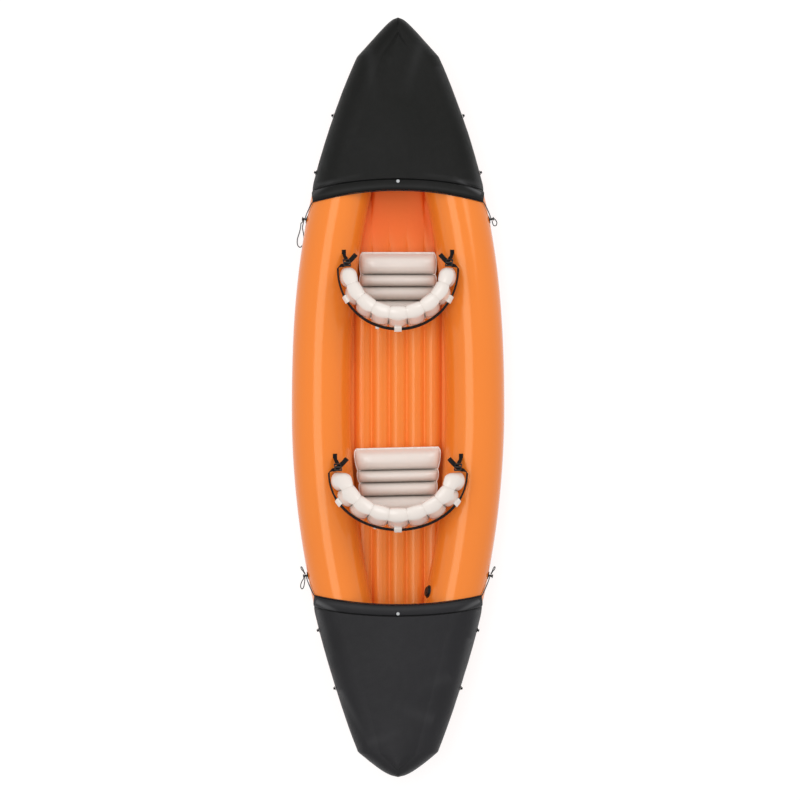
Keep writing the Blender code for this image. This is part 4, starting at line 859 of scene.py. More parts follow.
def screw_valve(node, placed, cap_body, look):
    """A flanged boss with a rounded rim, and a domed cap whose side is ribbed for the fingers."""
    body = (
        (0, -0.013), (VALVE_RADIUS, -0.013), (VALVE_RADIUS, 0.0022), (0.0270, 0.0034),
        (0.0258, 0.004), (0.0228, 0.004), (0.0218, 0.0032), (0.0217, 0.0004), (0.0168, 0.0004),
        (0.0168, 0.0038), (0, 0.0038),
    )
    boss = turned(node + "_boss", body, placed, 64)
    fit_out(boss, look, "plastic_black", "hull", node)
    cap = (
        (0, 0.0048), (0.0173, 0.0048), (0.0173, 0.0009), (0.0209, 0.0009), (0.0210, 0.0016),
        (0.0210, 0.0030), (0.0210, 0.0060), (0.0210, 0.0090), (0.0207, 0.0102), (0.0196, 0.0112),
        (0.0180, 0.0116), (0.0150, 0.0112), (0.0146, 0.0104), (0.0100, 0.0104), (0.0096, 0.0114),
        (0.0060, 0.0120), (0, 0.0120),
    )
    lid = turned(node + "_lid", cap, placed, 192, 24, 0.0011, (0.0020, 0.0100))
    fit_out(lid, look, "plastic_black", cap_body, node + "_cap")


def tube_valve(where, look):
    """A side tube's valve, sunk a little into the tube's inner shoulder."""
    side, y, node, cap_body = VALVES[where]
    point = mirrored(on_tube(y, TUBE_VALVE_ANGLE, -VALVE_SINK), side)
    normal = mirrored(tube_normal(y, TUBE_VALVE_ANGLE), side)
    screw_valve(node, frame_at(point, normal, (0, 1, 0)), cap_body, look)


def floor_valve(look):
    """The floor's valve, flat on its middle channel."""
    height = FLOOR_CREST_Z + float(rocker(FLOOR_VALVE_Y)) - VALVE_SINK
    placed = frame_at((0, FLOOR_VALVE_Y, height), (0, 0, 1), (0, 1, 0))
    screw_valve("floor_valve", placed, "floor_cap", look)


# Seats


def cushion_plan(prefix):
    """A cushion's grid in plan, with rows closer together at the welds and columns at the sides.

    It is narrower along its last channel, a little at each weld and at both ends. Returns the
    grid's x and y, each row's distance behind the front, its distance to the nearest weld and its
    swell (0 at a weld to 1 midway), and each point's distance from the side.
    """
    front_y, room, taper, _ = SEATS[prefix]["cushion"]
    tube_x, _, tube_wide, _ = tube_section(front_y)
    front_width = 2 * (float(tube_x) - tube_wide - room)
    marks = np.concatenate([[0], np.cumsum(CUSHION_CHANNELS)])
    length = marks[-1]
    fine = (1 - np.cos(np.linspace(0, math.pi, CUSHION_STEPS))) / 2
    back = np.concatenate(
        [a + (b - a) * fine[:-1] for a, b in zip(marks, marks[1:])] + [marks[-1:]]
    )[:, None]
    last_channel = len(CUSHION_CHANNELS) - 1
    channel = np.clip(np.searchsorted(marks, back[:, 0], "right") - 1, 0, last_channel)
    channel_length = np.array(CUSHION_CHANNELS)[channel]
    part = ((back[:, 0] - marks[channel]) / channel_length)[:, None]
    swell = np.sqrt(np.maximum(0, 1 - (2 * part - 1) ** 2))
    to_weld = np.minimum(part, 1 - part) * channel_length[:, None]

    share = np.sin(math.pi / 2 * np.linspace(-1, 1, CUSHION_COLUMNS))[None]
    width = front_width - taper * back / length
    into_last = np.maximum(0, 1 - (length - back) / CUSHION_CHANNELS[-1])
    width = width * (1 - CUSHION_TUCK * into_last ** 2)
    from_end = np.minimum(back, length - back)
    at_end = smooth_step((CUSHION_END_RUN - from_end) / CUSHION_END_RUN)
    width = width * (1 - CUSHION_WAIST * (1 - swell) - CUSHION_END_NARROW * at_end)
    x = share * width / 2
    return x, front_y - back + 0 * x, back, to_weld, swell, width / 2 * (1 - np.abs(share))


def cushion(prefix, look):
    """A pillow of four cross channels, crowned on top and flat below, with a seam round its side.

    Along the seat each channel swells as a half ellipse between its welds. Across it the height
    is filled by a quarter circle in from the side seam, and the welds pucker in short waves.
    """
    x, y, back, to_weld, swell, from_side = cushion_plan(prefix)
    length = back[-1, 0]
    from_end = np.minimum(back, length - back)
    side_fill = np.sqrt(1 - (1 - np.clip(from_side / CUSHION_ROUND, 0, 1)) ** 2)
    end_fill = np.sqrt(1 - (1 - np.clip(from_end / CUSHION_ROUND * 2, 0, 1)) ** 2)
    fill = side_fill * end_fill
    base = FLOOR_CREST_Z + CUSHION_LIFT
    seam = base + CUSHION_SEAM_Z
    crest = CUSHION_GROOVE + (CUSHION_CREST - CUSHION_GROOVE) * swell ** CUSHION_CREST_POWER
    inner = from_end > CUSHION_PUCKER_END
    seed = 41 if prefix == "front" else 47
    uneven = 2.5 * ripple(x * 40, back * 30, seed)
    crimp = np.exp(-to_weld / CUSHION_PUCKER_REACH) * np.sin(x / CUSHION_PUCKER_PITCH + uneven)
    crimp = CUSHION_PUCKER * crimp * inner * smooth_step(from_side / CUSHION_PUCKER_SIDE)
    puff = CUSHION_PUFF * ripple(x * 30, back * 45, seed + 1)
    side_wave = np.sin(back / SIDE_PUCKER_PITCH + seed)
    side_crimp = SIDE_PUCKER * np.exp(-from_side / SIDE_PUCKER_REACH) * side_wave
    high = seam + (base + crest - seam + crimp + puff + side_crimp) * fill
    low = seam - (seam - base) * np.clip(fill * 1.3, 0, 1)

    front_y, _, _, yaw = SEATS[prefix]["cushion"]
    settle = Matrix.Rotation(yaw, 3, "Z"), np.array([0, front_y - length / 2, 0])
    rings = np.concatenate([np.stack([x, y, high], -1), np.stack([x, y, low], -1)[:, ::-1]], 1)
    across = np.concatenate([x, x[:, ::-1], x[:, :1]], 1)
    pattern = np.stack([np.broadcast_to(back, across.shape), across], -1)
    # Painted shade: darker in the welds' grooves and along the side seam, and fainter underneath.
    crease = np.exp(-(to_weld / WELD_SHADE_WIDTH) ** 1.5) * inner
    crease = crease + np.exp(-from_side / SIDE_SHADE_WIDTH) * 0.5
    shade = np.concatenate([crease, crease[:, ::-1] * 0.3], 1)
    pad = shell(f"{prefix}_cushion", spun(rings, *settle), pattern, shade, sharp=80)
    fit_out(pad, look, "seat_white", f"{prefix}_seat", f"{prefix}_seat_cushion")
    cushion_flange(prefix, spun(edge_line(x, y, seam), *settle), look)


def spun(points, turn, middle):
    """Points turned about a point."""
    return (points - middle) @ np.array(turn).T + middle


def edge_line(x, y, height):
    """The border of a grid in plan, once round, at one height."""
    line = np.concatenate([
        np.stack([x[0], y[0]], -1), np.stack([x[1:, -1], y[1:, -1]], -1),
        np.stack([x[-1, -2::-1], y[-1, -2::-1]], -1), np.stack([x[-2:0:-1, 0], y[-2:0:-1, 0]], -1),
    ])
    return np.column_stack([line, np.full(len(line), height)])


def cushion_flange(prefix, seam_line, look):
    """The welded edge round a cushion: a thin flat lip whose outer half waves up and down."""
    tangent = unit(np.roll(seam_line, -1, 0) - np.roll(seam_line, 1, 0))
    outward = np.stack([-tangent[:, 1], tangent[:, 0], 0 * tangent[:, 0]], -1)
    outward = outward * np.sign(((seam_line - seam_line.mean(0)) * outward).sum(1).mean())
    walked = np.linspace(0, 1, len(seam_line), endpoint=False) * math.tau
    wave = sum(height * np.sin(walked * count + phase) for height, count, phase in FLANGE_WAVES)
    section = (
        (-FLANGE_ROOT, 0.0007), (FLANGE_LIP - FLANGE_EDGE, 0.0006), (FLANGE_LIP, 0),
        (FLANGE_LIP - FLANGE_EDGE, -0.0006), (-FLANGE_ROOT, -0.0007),
    )
    flange = []
    for reach, height in section:
        lifted = height + wave * max(reach, 0) / FLANGE_LIP
        flange.append(seam_line + outward * reach + np.stack([0 * walked, 0 * walked, lifted], -1))
    flange = np.array(flange)
    closed = np.concatenate([flange, flange[:, :1]], 1).transpose(1, 0, 2)
    welt = shell(f"{prefix}_cushion_flange", closed, sharp=60)
    fit_out(welt, look, "seat_white", f"{prefix}_seat")


def top_z(around):
    """The horseshoe's top edge: a cosine from the wings up to the middle."""
    share = np.cos(math.pi * (around - 0.5))
    return BACK_WING_TOP_Z + (BACK_TOP_Z - BACK_WING_TOP_Z) * share


def strap_level(around):
    """The strap's line: a cosine down from the back of the horseshoe to its wings."""
    share = np.cos(math.pi * (around - 0.5))
    return STRAP_WING_LEVEL + (STRAP_LEVEL - STRAP_WING_LEVEL) * share


class Backrest:
    """The horseshoe's sizes and points.

    around runs from 0 at the port wing's end to 1 at the starboard one, level from 0 at the base
    to 1 at the top, and out is the distance outwards from the middle of the wall.
    """

    def __init__(self, prefix):
        back_y, depth, side_lean, wing_setback = SEATS[prefix]["back"]
        half = BACK_THICKNESS / 2
        self.wing_y = back_y + depth
        self.width = float(tube_section(self.wing_y)[0]) - wing_setback - half
        self.depth = depth - half
        self.arc = math.pi * (self.width + self.depth) / 2
        self.side_lean = side_lean
        self.seat_z = FLOOR_CREST_Z + CUSHION_LIFT + CUSHION_CREST + BACK_CLEARANCE

    def base_z(self, around):
        """On the cushion at the back, and over the tubes' round shoulders at the wings."""
        angle = math.pi * (around - 0.5)
        x, z, wide, _ = tube_section(self.wing_y - self.depth * np.cos(angle))
        aside = x - self.width * np.abs(np.sin(angle))
        reach = wide + BACK_THICKNESS / 2 + BACK_TUBE_GAP
        over = z + np.sqrt(np.maximum(reach ** 2 - aside ** 2, 0.0)) - BACK_THICKNESS / 2
        return np.where(np.abs(aside) < reach, np.maximum(self.seat_z, over), self.seat_z)

    def point(self, around, level, out=0.0):
        """A half ellipse in plan, upright to the widest level and leaning in above it."""
        around, level, out = np.broadcast_arrays(
            np.asarray(around, float), np.asarray(level, float), np.asarray(out, float)
        )
        angle = math.pi * (around - 0.5)
        lean = np.maximum((level - BACK_WIDEST) / (1 - BACK_WIDEST), 0.0) ** BACK_LEAN_POWER
        width = self.width - self.side_lean * lean
        depth = self.depth - BACK_LEAN * lean
        base = self.base_z(around)
        spot = np.stack([
            width * np.sin(angle), self.wing_y - depth * np.cos(angle),
            base + (top_z(around) - base) * level,
        ], -1)
        normal = unit(np.stack([depth * np.sin(angle), -width * np.cos(angle), 0 * angle], -1))
        return spot + normal * out[..., None]

    def line(self, around, level_at, out=0.0):
        """Centre, outward direction and up direction on a line of changing level."""
        step = 0.01
        level = level_at(around)
        middle = self.point(around, level)
        low, high = np.maximum(around - step, 0.0), np.minimum(around + step, 1.0)
        along = unit(self.point(high, level_at(high)) - self.point(low, level_at(low)))
        rise = self.point(around, level + step) - middle
        up = unit(rise - along * (rise * along).sum(-1, keepdims=True))
        normal = np.cross(along, up)
        return middle + normal * out, normal, up

    def strap(self, around):
        """The strap leans: its upper edge lies at the wall and its lower one stands out."""
        out = BACK_THICKNESS / 2 + STRAP_GAP + WEBBING / 2
        centre, normal, up = self.line(around, strap_level, out)
        leaning = up * math.cos(STRAP_TILT) - normal * math.sin(STRAP_TILT)
        facing = normal * math.cos(STRAP_TILT) + up * math.sin(STRAP_TILT)
        return centre + (up - leaning) * (WEBBING_WIDTH / 2), facing, leaning

    def wing_end(self, side):
        """Where the strap's line leaves a wing."""
        out = BACK_THICKNESS / 2 + STRAP_GAP + WEBBING / 2
        return self.line(1.0 if side > 0 else 0.0, strap_level, out)[0]


def wall_section(sides, caps):
    """The outline of the wall's section: a cap, one side down, the foot's cap, the other side up.

    Returns each column's place across (-1 inside to 1 outside), its height along the straight
    sides (0 to 1) and its height on a cap (1 at the top's ridge, -1 at the foot's).
    """
    bend = np.linspace(0, math.pi, caps, endpoint=False)
    run = np.linspace(0, 1, sides, endpoint=False)
    across = np.concatenate([np.cos(bend), np.full(sides, -1.0), -np.cos(bend), np.ones(sides)])
    along = np.concatenate([np.ones(caps), 1 - run, np.zeros(caps), run])
    ridge = np.concatenate([np.sin(bend), np.zeros(sides), -np.sin(bend), np.zeros(sides)])
    return across[None], along[None], ridge[None]


def backrest(prefix, shape, look):
    """Nine upright channels side by side round the horseshoe, under one rounded rim.

    Across a channel the wall's thickness is a half ellipse between its welds. The welds are
    shallow at the rim and deep below it, and the wall puckers beside them in short waves. The
    section is two straight sides between half-ellipse caps, lower at each weld.
    """
    fine = (1 - np.cos(np.linspace(0, math.pi, BACK_STEPS + 1)[:-1])) / 2
    around = (np.arange(BACK_CHANNELS)[:, None] + fine).ravel() / BACK_CHANNELS
    around = np.append(around, 1.0)[:, None]
    part = around * BACK_CHANNELS % 1.0
    swell = np.sqrt(np.maximum(0, 1 - (2 * part - 1) ** 2))
    to_weld = np.minimum(part, 1 - part) * BACK_THICKNESS
    across, along, ridge = wall_section(BACK_STEPS, BACK_CAP_STEPS)
    height = top_z(around) - shape.base_z(around)
    at_end = smooth_step((0.5 - np.abs(around - 0.5)) * BACK_CHANNELS / 0.5)
    near_rim = smooth_step((along * (1 + np.maximum(ridge, 0)) - BACK_RIM_FROM) / BACK_RIM_RUN) * at_end
    creased = (1 - swell) * (1 - BACK_RIM_FULLNESS * near_rim)
    thick = BACK_THICKNESS - (BACK_THICKNESS - BACK_WELD) * creased

    top = height - (1 - swell) * (WELD_DIP + WELD_END_DIP * (1 - at_end))
    foot = (1 - swell) * WELD_FOOT_LIFT
    walk = foot + BACK_CAP * (1 + np.minimum(ridge, 0)) * (along == 0)
    walk = np.where(along > 0, foot + BACK_CAP + (top - foot - 2 * BACK_CAP) * along, walk)
    walk = walk + BACK_CAP * np.maximum(ridge, 0)

    seed = 53 if prefix == "front" else 59
    uneven = 3 * ripple(walk * 60, around * 40, seed)
    crimp = np.exp(-to_weld / BACK_PUCKER_REACH) * np.sin(walk / BACK_PUCKER_PITCH + uneven)
    ends = np.exp(-np.minimum(walk, height - walk) / BACK_PUCKER_ENDS)
    crimp = BACK_PUCKER * crimp * (BACK_PUCKER_MIDDLE + ends)
    puff = BACK_PUFF * ripple(around * 70, walk * 40, seed + 2)
    out = across * (thick / 2 + crimp + puff)
    points = shape.point(around, np.clip(walk / height, 0.0, 1.0), out)
    walk_round = np.concatenate([walk, walk[:, :1]], 1)
    pattern = np.stack(np.broadcast_arrays(walk_round, around * shape.arc), -1)
    # Painted shade in the welds' grooves, faint near the rim.
    crease = np.exp(-to_weld / BACK_SHADE_WIDTH) * (1 - 0.9 * near_rim)
    back = shell(f"{prefix}_back", points, pattern, crease, fans=True, sharp=80)
    fit_out(back, look, "seat_white", f"{prefix}_back", f"{prefix}_backrest")


def ribbon(name, centres, faces, ups, width, thickness, columns=9):
    """Flat webbing: a thin rounded rectangle carried along a path, its face square to faces."""
    half = np.linspace(-1, 1, columns)
    bulge = np.sqrt(np.clip(1 - np.abs(half) ** 8, 0, 1)) * 0.5
    across = np.concatenate([half, half[::-1]]) * width / 2
    deep = np.concatenate([-bulge, bulge[::-1]]) * thickness
    points = (
        centres[:, None] + ups[:, None] * across[None, :, None] + faces[:, None] * deep[None, :, None]
    )
    wrap = np.concatenate([across, across[:1]])
    pattern = np.stack(np.meshgrid(walked_along(centres), wrap, indexing="ij"), -1)
    return shell(name, points, pattern, fans=True, sharp=60)


def web_frames(path, faces, first_up):
    """Face and width directions along webbing, square to its path and without a flip."""
    along = unit(np.gradient(path, axis=0))
    faces = unit(faces - along * (faces * along).sum(-1, keepdims=True))
    ups = np.cross(along, faces)
    last = np.asarray(first_up, float)
    for k, up in enumerate(ups):
        ups[k] = last = up if up @ last > 0 else -up
    return faces, ups


def buckle_place(shape, side):
    """The buckle lies in front of a wing's end, where the strap turns in under it."""
    end = shape.wing_end(side)
    ahead = unit(mirrored(BUCKLE_AHEAD, -side))
    face = mirrored(BUCKLE_FACE, -side)
    normal = unit(face - ahead * (face @ ahead))
    return end + mirrored(BUCKLE_OFFSET, -side), ahead, normal


def tail_frames(shape, side):
    """From a wing's end, turning face up under the buckle, to the loose tip in the cockpit."""
    end = shape.wing_end(side)
    _, outward, _ = shape.strap(1.0 if side > 0 else 0.0)
    _, _, normal = buckle_place(shape, side)
    path = smooth_route([end + mirrored(offset, -side) for offset in TAIL_OFFSETS], 10)
    turn = smooth_step(TAIL_TWIST * np.linspace(0, 1, len(path) + 1)[1:])[:, None]
    faces, ups = web_frames(path, outward * (1 - turn) + normal * turn, (0, 0, 1))
    return path, faces, ups


def back_strap(prefix, shape, look):
    """Webbing round the horseshoe, on under the buckles and over to its two loose tails."""
    middle = [shape.strap(around) for around in np.linspace(0, 1, 140)]
    middle = [np.array([place[k] for place in middle]) for k in range(3)]
    port = [part[::-1] for part in tail_frames(shape, -1)]
    starboard = tail_frames(shape, 1)
    centres, faces, ups = (np.vstack(parts) for parts in zip(port, middle, starboard))
    strap = ribbon(f"{prefix}_strap", centres, faces, ups, WEBBING_WIDTH, WEBBING)
    fit_out(strap, look, "webbing_black", f"{prefix}_back", f"{prefix}_back_strap")


def hull_tab(prefix, shape, where, look):
    """Webbing from its weld on the tube up to the buckle, in two pieces that meet a third down.
    """
    side = -1 if where == "left" else 1
    spot, ahead, normal = buckle_place(shape, side)
    start = spot + ahead * (BUCKLE_LENGTH / 2 + TAB_GAP)
    out = WEBBING / 2 + TAB_GAP
    places, normals = [], []
    for run in (TAB_DROP, TAB_DROP + TAB_WELD):
        y = start[1] + run
        x, _, wide, _ = tube_section(y)
        angle = math.acos((abs(start[0]) + TAB_SPREAD - x) / (wide + out))
        places.append(mirrored(on_tube(y, angle, out), side))
        normals.append(mirrored(tube_normal(y, angle), side))
    (low, last), skin = places, normals[0]
    bend = start + (low - start) * TAB_BEND + np.array([0, 0, TAB_BEND_RISE])
    path = smooth_route([start, bend, low, last], 16)
    share = smooth_step(TAB_TWIST * np.linspace(0, 1, len(path)))[:, None]
    faces, ups = web_frames(path, normal * (1 - share) + skin * share, (1, 0, 0))
    cut = len(path) // 3
    upper = ribbon(
        f"{prefix}_tab_upper_{where}", path[:cut + 1], faces[:cut + 1], ups[:cut + 1], TAB_WIDTH,
        WEBBING,
    )
    lower = ribbon(
        f"{prefix}_tab_lower_{where}", path[cut:], faces[cut:], ups[cut:], TAB_WIDTH, WEBBING
    )
    for piece in (upper, lower):
        piece.data.materials.append(look)
    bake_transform(upper)
    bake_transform(lower)
    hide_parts(f"{prefix}_strap_tab_{where}")


def strap_keeper(prefix, shape, where, look):
    """A welded loop over the strap: a thin outer wall with rounded edges and two short legs.

    Its section is carried a short way along the strap's line, and both ends are filled flat.
    """
    channel = KEEPER_CHANNELS[("left", "middle", "right").index(where)]
    middle = (channel + 0.5) / BACK_CHANNELS
    half_step = KEEPER_LENGTH / 2 / shape.arc
    inside = WEBBING_WIDTH / 2 + KEEPER_MARGIN
    outside = inside + KEEPER_WALL
    high = BACK_THICKNESS / 2 + STRAP_GAP + WEBBING + KEEPER_MARGIN
    low = high + 2 * inside * math.sin(STRAP_TILT)
    foot = BACK_THICKNESS / 2 - KEEPER_SINK
    edge = KEEPER_EDGE
    profile = np.array([
        (-outside - 0.004, foot), (-outside - 0.001, foot + 0.0016), (-outside, foot + 0.003),
        (-outside, low + KEEPER_WALL - edge), (-outside + edge, low + KEEPER_WALL),
        (outside - edge, high + KEEPER_WALL), (outside, high + KEEPER_WALL - edge),
        (outside, foot + 0.003), (outside + 0.001, foot + 0.0016), (outside + 0.004, foot),
        (inside, foot), (inside, high), (-inside, low), (-inside, foot),
    ])
    rows = []
    for around in middle + half_step * np.linspace(-1, 1, 13):
        centre, normal, up = shape.line(around, strap_level)
        rows.append(centre + up * profile[:, :1] + normal * profile[:, 1:])
    keeper = shell(f"{prefix}_keeper_{where}", np.array(rows), sharp=40)
    work = bmesh.new()
    work.from_mesh(keeper.data)
    open_edges = [edge for edge in work.edges if edge.is_boundary]
    bmesh.ops.holes_fill(work, edges=open_edges, sides=40)
    bmesh.ops.recalc_face_normals(work, faces=work.faces)
    work.to_mesh(keeper.data)
    work.free()
    fit_out(keeper, look, "seat_white", f"{prefix}_back", f"{prefix}_strap_keeper_{where}")


def seat_stopper(prefix, shape, look):
    """The seat's valve: a flanged stub with a round plug pressed into it."""
    around = (SEAT_VALVE_CHANNEL + 0.5) / BACK_CHANNELS
    centre, normal, _ = shape.line(around, lambda _: SEAT_VALVE_LEVEL, BACK_THICKNESS / 2 + FIT)
    placed = frame_at(centre, normal, (0, 0, 1))
    stub = (
        (0, -0.002), (0.0125, -0.002), (0.0125, 0.0004), (0.0112, 0.0016), (0.0098, 0.0026),
        (0.0090, 0.0042), (0.0088, 0.0086), (0.0084, 0.009), (0.0068, 0.009), (0.0066, 0.0084),
        (0.0066, 0.0030), (0, 0.0030),
    )
    valve = turned(f"{prefix}_valve_stub", stub, placed, 40)
    fit_out(valve, look, "seat_white", f"{prefix}_back", f"{prefix}_seat_valve")
    plug = (
        (0, 0.0036), (0.0056, 0.0036), (0.0060, 0.0042), (0.0060, 0.0094), (0.0081, 0.0097),
        (0.0085, 0.0104), (0.0083, 0.0118), (0.0072, 0.0125), (0.0030, 0.0125), (0, 0.0122),
    )
    stopper = turned(f"{prefix}_plug", plug, placed, 40)
    fit_out(stopper, look, "seat_white", f"{prefix}_stopper", f"{prefix}_seat_stopper")


# Finishes


class Finish:
    """A material whose nodes are added one by one."""

    def __init__(self, name, roughness, **constants):
        self.material = bpy.data.materials.new(name)
        self.material.use_nodes = True
        self.tree = self.material.node_tree
        self.shader = self.tree.nodes["Principled BSDF"]
        self.shader.inputs["Roughness"].default_value = roughness
        for socket, value in constants.items():
            self.shader.inputs[socket.replace("_", " ")].default_value = value

    def node(self, kind, links=(), **values):
        """A node with values set on its properties or sockets, and sockets linked."""
        made = self.tree.nodes.new("ShaderNode" + kind)
        for key, value in values.items():
            if key.startswith("in_"):
                key = key[3:]
                made.inputs[int(key) if key.isdigit() else key.replace("_", " ")].default_value = value
            else:
                setattr(made, key, value)
        for socket, source in dict(links).items():
            self.tree.links.new(source, made.inputs[socket])
        return made

    def mix(self, factor, a, b):
        """Two colours mixed by a factor; each is a colour or another node's output."""
        made = self.node("Mix", data_type="RGBA")
        for index, value in ((0, factor), (6, a), (7, b)):
            if isinstance(value, bpy.types.NodeSocket):
                self.tree.links.new(value, made.inputs[index])
            else:
                made.inputs[index].default_value = value
        return made.outputs[2]

    def scaled(self, source, low, high):
        """A number from 0 to 1 spread over another range."""
        made = self.node("MapRange", {0: source}, in_3=low, in_4=high)
        return made.outputs[0]

    def number(self, operation, a, b=None, **values):
        """One step of arithmetic on one or two numbers."""
        links = {0: a} if b is None else {0: a, 1: b}
        return self.node("Math", links, operation=operation, **values).outputs[0]

    def noise(self, place, scale, detail=3.0, roughness=0.55):
        """Uneven specks or clouds from 0 to 1, this many to the metre."""
        return self.node(
            "TexNoise", {"Vector": place}, in_Scale=scale, in_Detail=detail, in_Roughness=roughness
        ).outputs["Fac"]

    def wave(self, place, scale, direction):
        """Straight threads or ribs square to one direction of the pattern."""
        return self.node(
            "TexWave", {"Vector": place}, bands_direction=direction, in_Scale=scale,
            in_Distortion=0.0, in_Detail=0.0,
        ).outputs["Fac"]

    def bump(self, height, strength, distance, normal=None):
        """The shading of a relief, on top of another bump's where one is given."""
        links = {"Height": height}
        if normal is not None:
            links["Normal"] = normal
        return self.node("Bump", links, in_Strength=strength, in_Distance=distance).outputs[0]

    def objects(self):
        """A point's place on the object, in metres."""
        return self.node("TexCoord").outputs["Object"]

    def pattern(self):
        """A point's place along and across its own piece, in metres."""
        return self.node("UVMap", uv_map="pattern").outputs[0]

    def shade(self):
        """The number that a piece's formula gave each point."""
        return self.node("Attribute", attribute_name="shade").outputs["Fac"]

    def finish(self, colour, roughness, normal):
        """Links what is given to the shader, and hands the material over."""
        for socket, source in (("Base Color", colour), ("Roughness", roughness), ("Normal", normal)):
            if source is not None:
                self.tree.links.new(source, self.shader.inputs[socket])
        return self.material


def pvc(name, colour, patch_colour, painted_crease_colour, deep_colour, roughness, tint):
    """Blow-up PVC: glossy, a fine grain and slow changes of tone.

    The shade attribute leads to the painted crease colour above 0, painted light where that colour is
    lighter than the body and painted shade where it is darker, and to the deeper colour below it, and
    both are less glossy.
    """
    look = Finish(name, roughness, Specular_IOR_Level=0.5, Specular_Tint=tint)
    place, shade = look.objects(), look.shade()
    slow = look.noise(place, 3.2, 2.0)
    toned = look.mix(look.scaled(slow, 0.0, 0.55), colour, patch_colour)
    # The crease colour is painted light in the hull's creases, where it is lighter, and painted shade
    # in the seats' grooves, where it is darker.
    creased = look.mix(shade, toned, painted_crease_colour)
    below = look.number("MULTIPLY", shade, in_1=-1.0, use_clamp=True)
    deepened = look.mix(below, creased, deep_colour)
    fine = look.noise(place, 900.0, 2.0, 0.6)
    cloudy = look.noise(place, 14.0, 3.0)
    matt = look.number("MULTIPLY", look.number("ABSOLUTE", shade), in_1=0.45)
    satin = look.scaled(cloudy, roughness - 0.03, roughness + 0.05)
    rough = look.number("ADD", satin, matt)
    lumps = look.bump(cloudy, 0.06, 0.004)
    return look.finish(deepened, rough, look.bump(fine, 0.25, 0.0002, lumps))


THREAD_TOPS, STITCHES = (0.016, 0.016, 0.0165, 1), (0.030, 0.030, 0.031, 1)
# The first is the painted highlight for fold ridges and the hem's roll; the second is the painted shade
# for the hem's crease, also laid darker towards the rim.
PAINTED_HIGHLIGHT, PAINTED_CREASE_SHADE = (0.085, 0.085, 0.088, 1), (0.0015, 0.0015, 0.0015, 1)


def cover_cloth(name, dark, pale, gloss):
    """Coated black weave: threads both ways, slow changes of tone and a double row of stitches.

    The shade attribute paints shade into the hem's crease and darkens the cloth towards the rim below
    0, and paints highlights on fold ridges and along the hem's roll above it.
    """
    look = Finish(name, 0.48, Specular_IOR_Level=gloss)
    place, flat, shade = look.objects(), look.pattern(), look.shade()
    slow = look.noise(place, 1.7, 4.0)
    base = look.mix(look.scaled(slow, -0.4, 1.4), dark, pale)
    warp = look.wave(flat, 560.0, "X")
    weft = look.wave(flat, 560.0, "Y")
    weave = look.number("MULTIPLY", warp, weft)
    woven = look.mix(look.scaled(weave, 0.0, 0.3), base, THREAD_TOPS)
    # Painted highlights on fold ridges and along the hem's roll, where the shade is above 0.
    highlighted = look.mix(shade, woven, PAINTED_HIGHLIGHT)
    # Painted shade in the hem's crease, also darker towards the rim, where the shade is below 0.
    below = look.number("MULTIPLY", shade, in_1=-1.0, use_clamp=True)
    creased = look.mix(below, highlighted, PAINTED_CREASE_SHADE)
    behind_rim, along_rim, _ = look.node("SeparateXYZ", {0: flat}).outputs
    dashes = look.number("PINGPONG", along_rim, in_1=STITCH_PITCH / 2)
    dashes = look.number("LESS_THAN", dashes, in_1=STITCH_PITCH * STITCH_SHARE)
    rows = []
    for row in STITCH_ROWS:
        close = look.number("COMPARE", behind_rim, in_1=row, in_2=STITCH_HALF_WIDTH)
        rows.append(look.number("MULTIPLY", close, dashes))
    thread = look.number("MAXIMUM", *rows)
    sewn = look.mix(thread, creased, STITCHES)
    rough = look.scaled(look.noise(place, 30.0, 4.0), 0.38, 0.58)
    crumple = look.bump(look.noise(place, 38.0, 5.0, 0.6), 0.3, 0.005)
    fine = look.bump(weave, 0.3, 0.0004, crumple)
    return look.finish(sewn, rough, look.bump(thread, 0.8, 0.0008, fine))


def webbing():
    """Matt black webbing with ribs across it and two edge cords along it."""
    look = Finish("webbing_weave", 0.82, Specular_IOR_Level=0.2)
    flat = look.pattern()
    ribs = look.wave(flat, 130.0, "X")
    cords = look.wave(flat, 190.0, "Y")
    both = look.number("MULTIPLY", ribs, cords)
    colour = look.mix(both, (0.004, 0.004, 0.004, 1), (0.016, 0.015, 0.015, 1))
    return look.finish(colour, None, look.bump(both, 0.6, 0.0007))


def braid():
    """Black cord whose strands cross at a slant both ways."""
    look = Finish("cord_braid", 0.75, Specular_IOR_Level=0.25)
    along, round_it, _ = look.node("SeparateXYZ", {0: look.pattern()}).outputs
    turns = look.number("MULTIPLY", round_it, in_1=8 * math.tau)
    run = look.number("MULTIPLY", along, in_1=1600.0)
    strands = look.number("MAXIMUM", *[
        look.number("SINE", look.number(kind, run, turns)) for kind in ("ADD", "SUBTRACT")
    ])
    colour = look.mix(strands, (0.006, 0.006, 0.006, 1), (0.022, 0.022, 0.023, 1))
    return look.finish(colour, None, look.bump(strands, 0.5, 0.0005))


def moulded(name, low, high, roughness):
    """Moulded plastic: a faint grain and small changes of tone and gloss."""
    look = Finish(name, roughness, Specular_IOR_Level=0.35)
    place = look.objects()
    cloudy = look.noise(place, 60.0, 4.0)
    colour = look.mix(cloudy, low, high)
    rough = look.scaled(look.noise(place, 170.0, 3.0), roughness - 0.07, roughness + 0.12)
    return look.finish(colour, rough, look.bump(look.noise(place, 1500.0, 2.0), 0.25, 0.0002))


# The hull's crease colour is lighter than its body: painted light in the tubes' low inner sides and in
# the floor's welds and webs.
hull_pvc = pvc(
    "hull_pvc", colour=(0.84, 0.203, 0.022, 1), patch_colour=(0.85, 0.228, 0.028, 1),
    painted_crease_colour=(0.93, 0.27, 0.055, 1), deep_colour=(0.84, 0.128, 0.014, 1), roughness=0.13,
    tint=(1.0, 0.94, 0.66, 1),
)
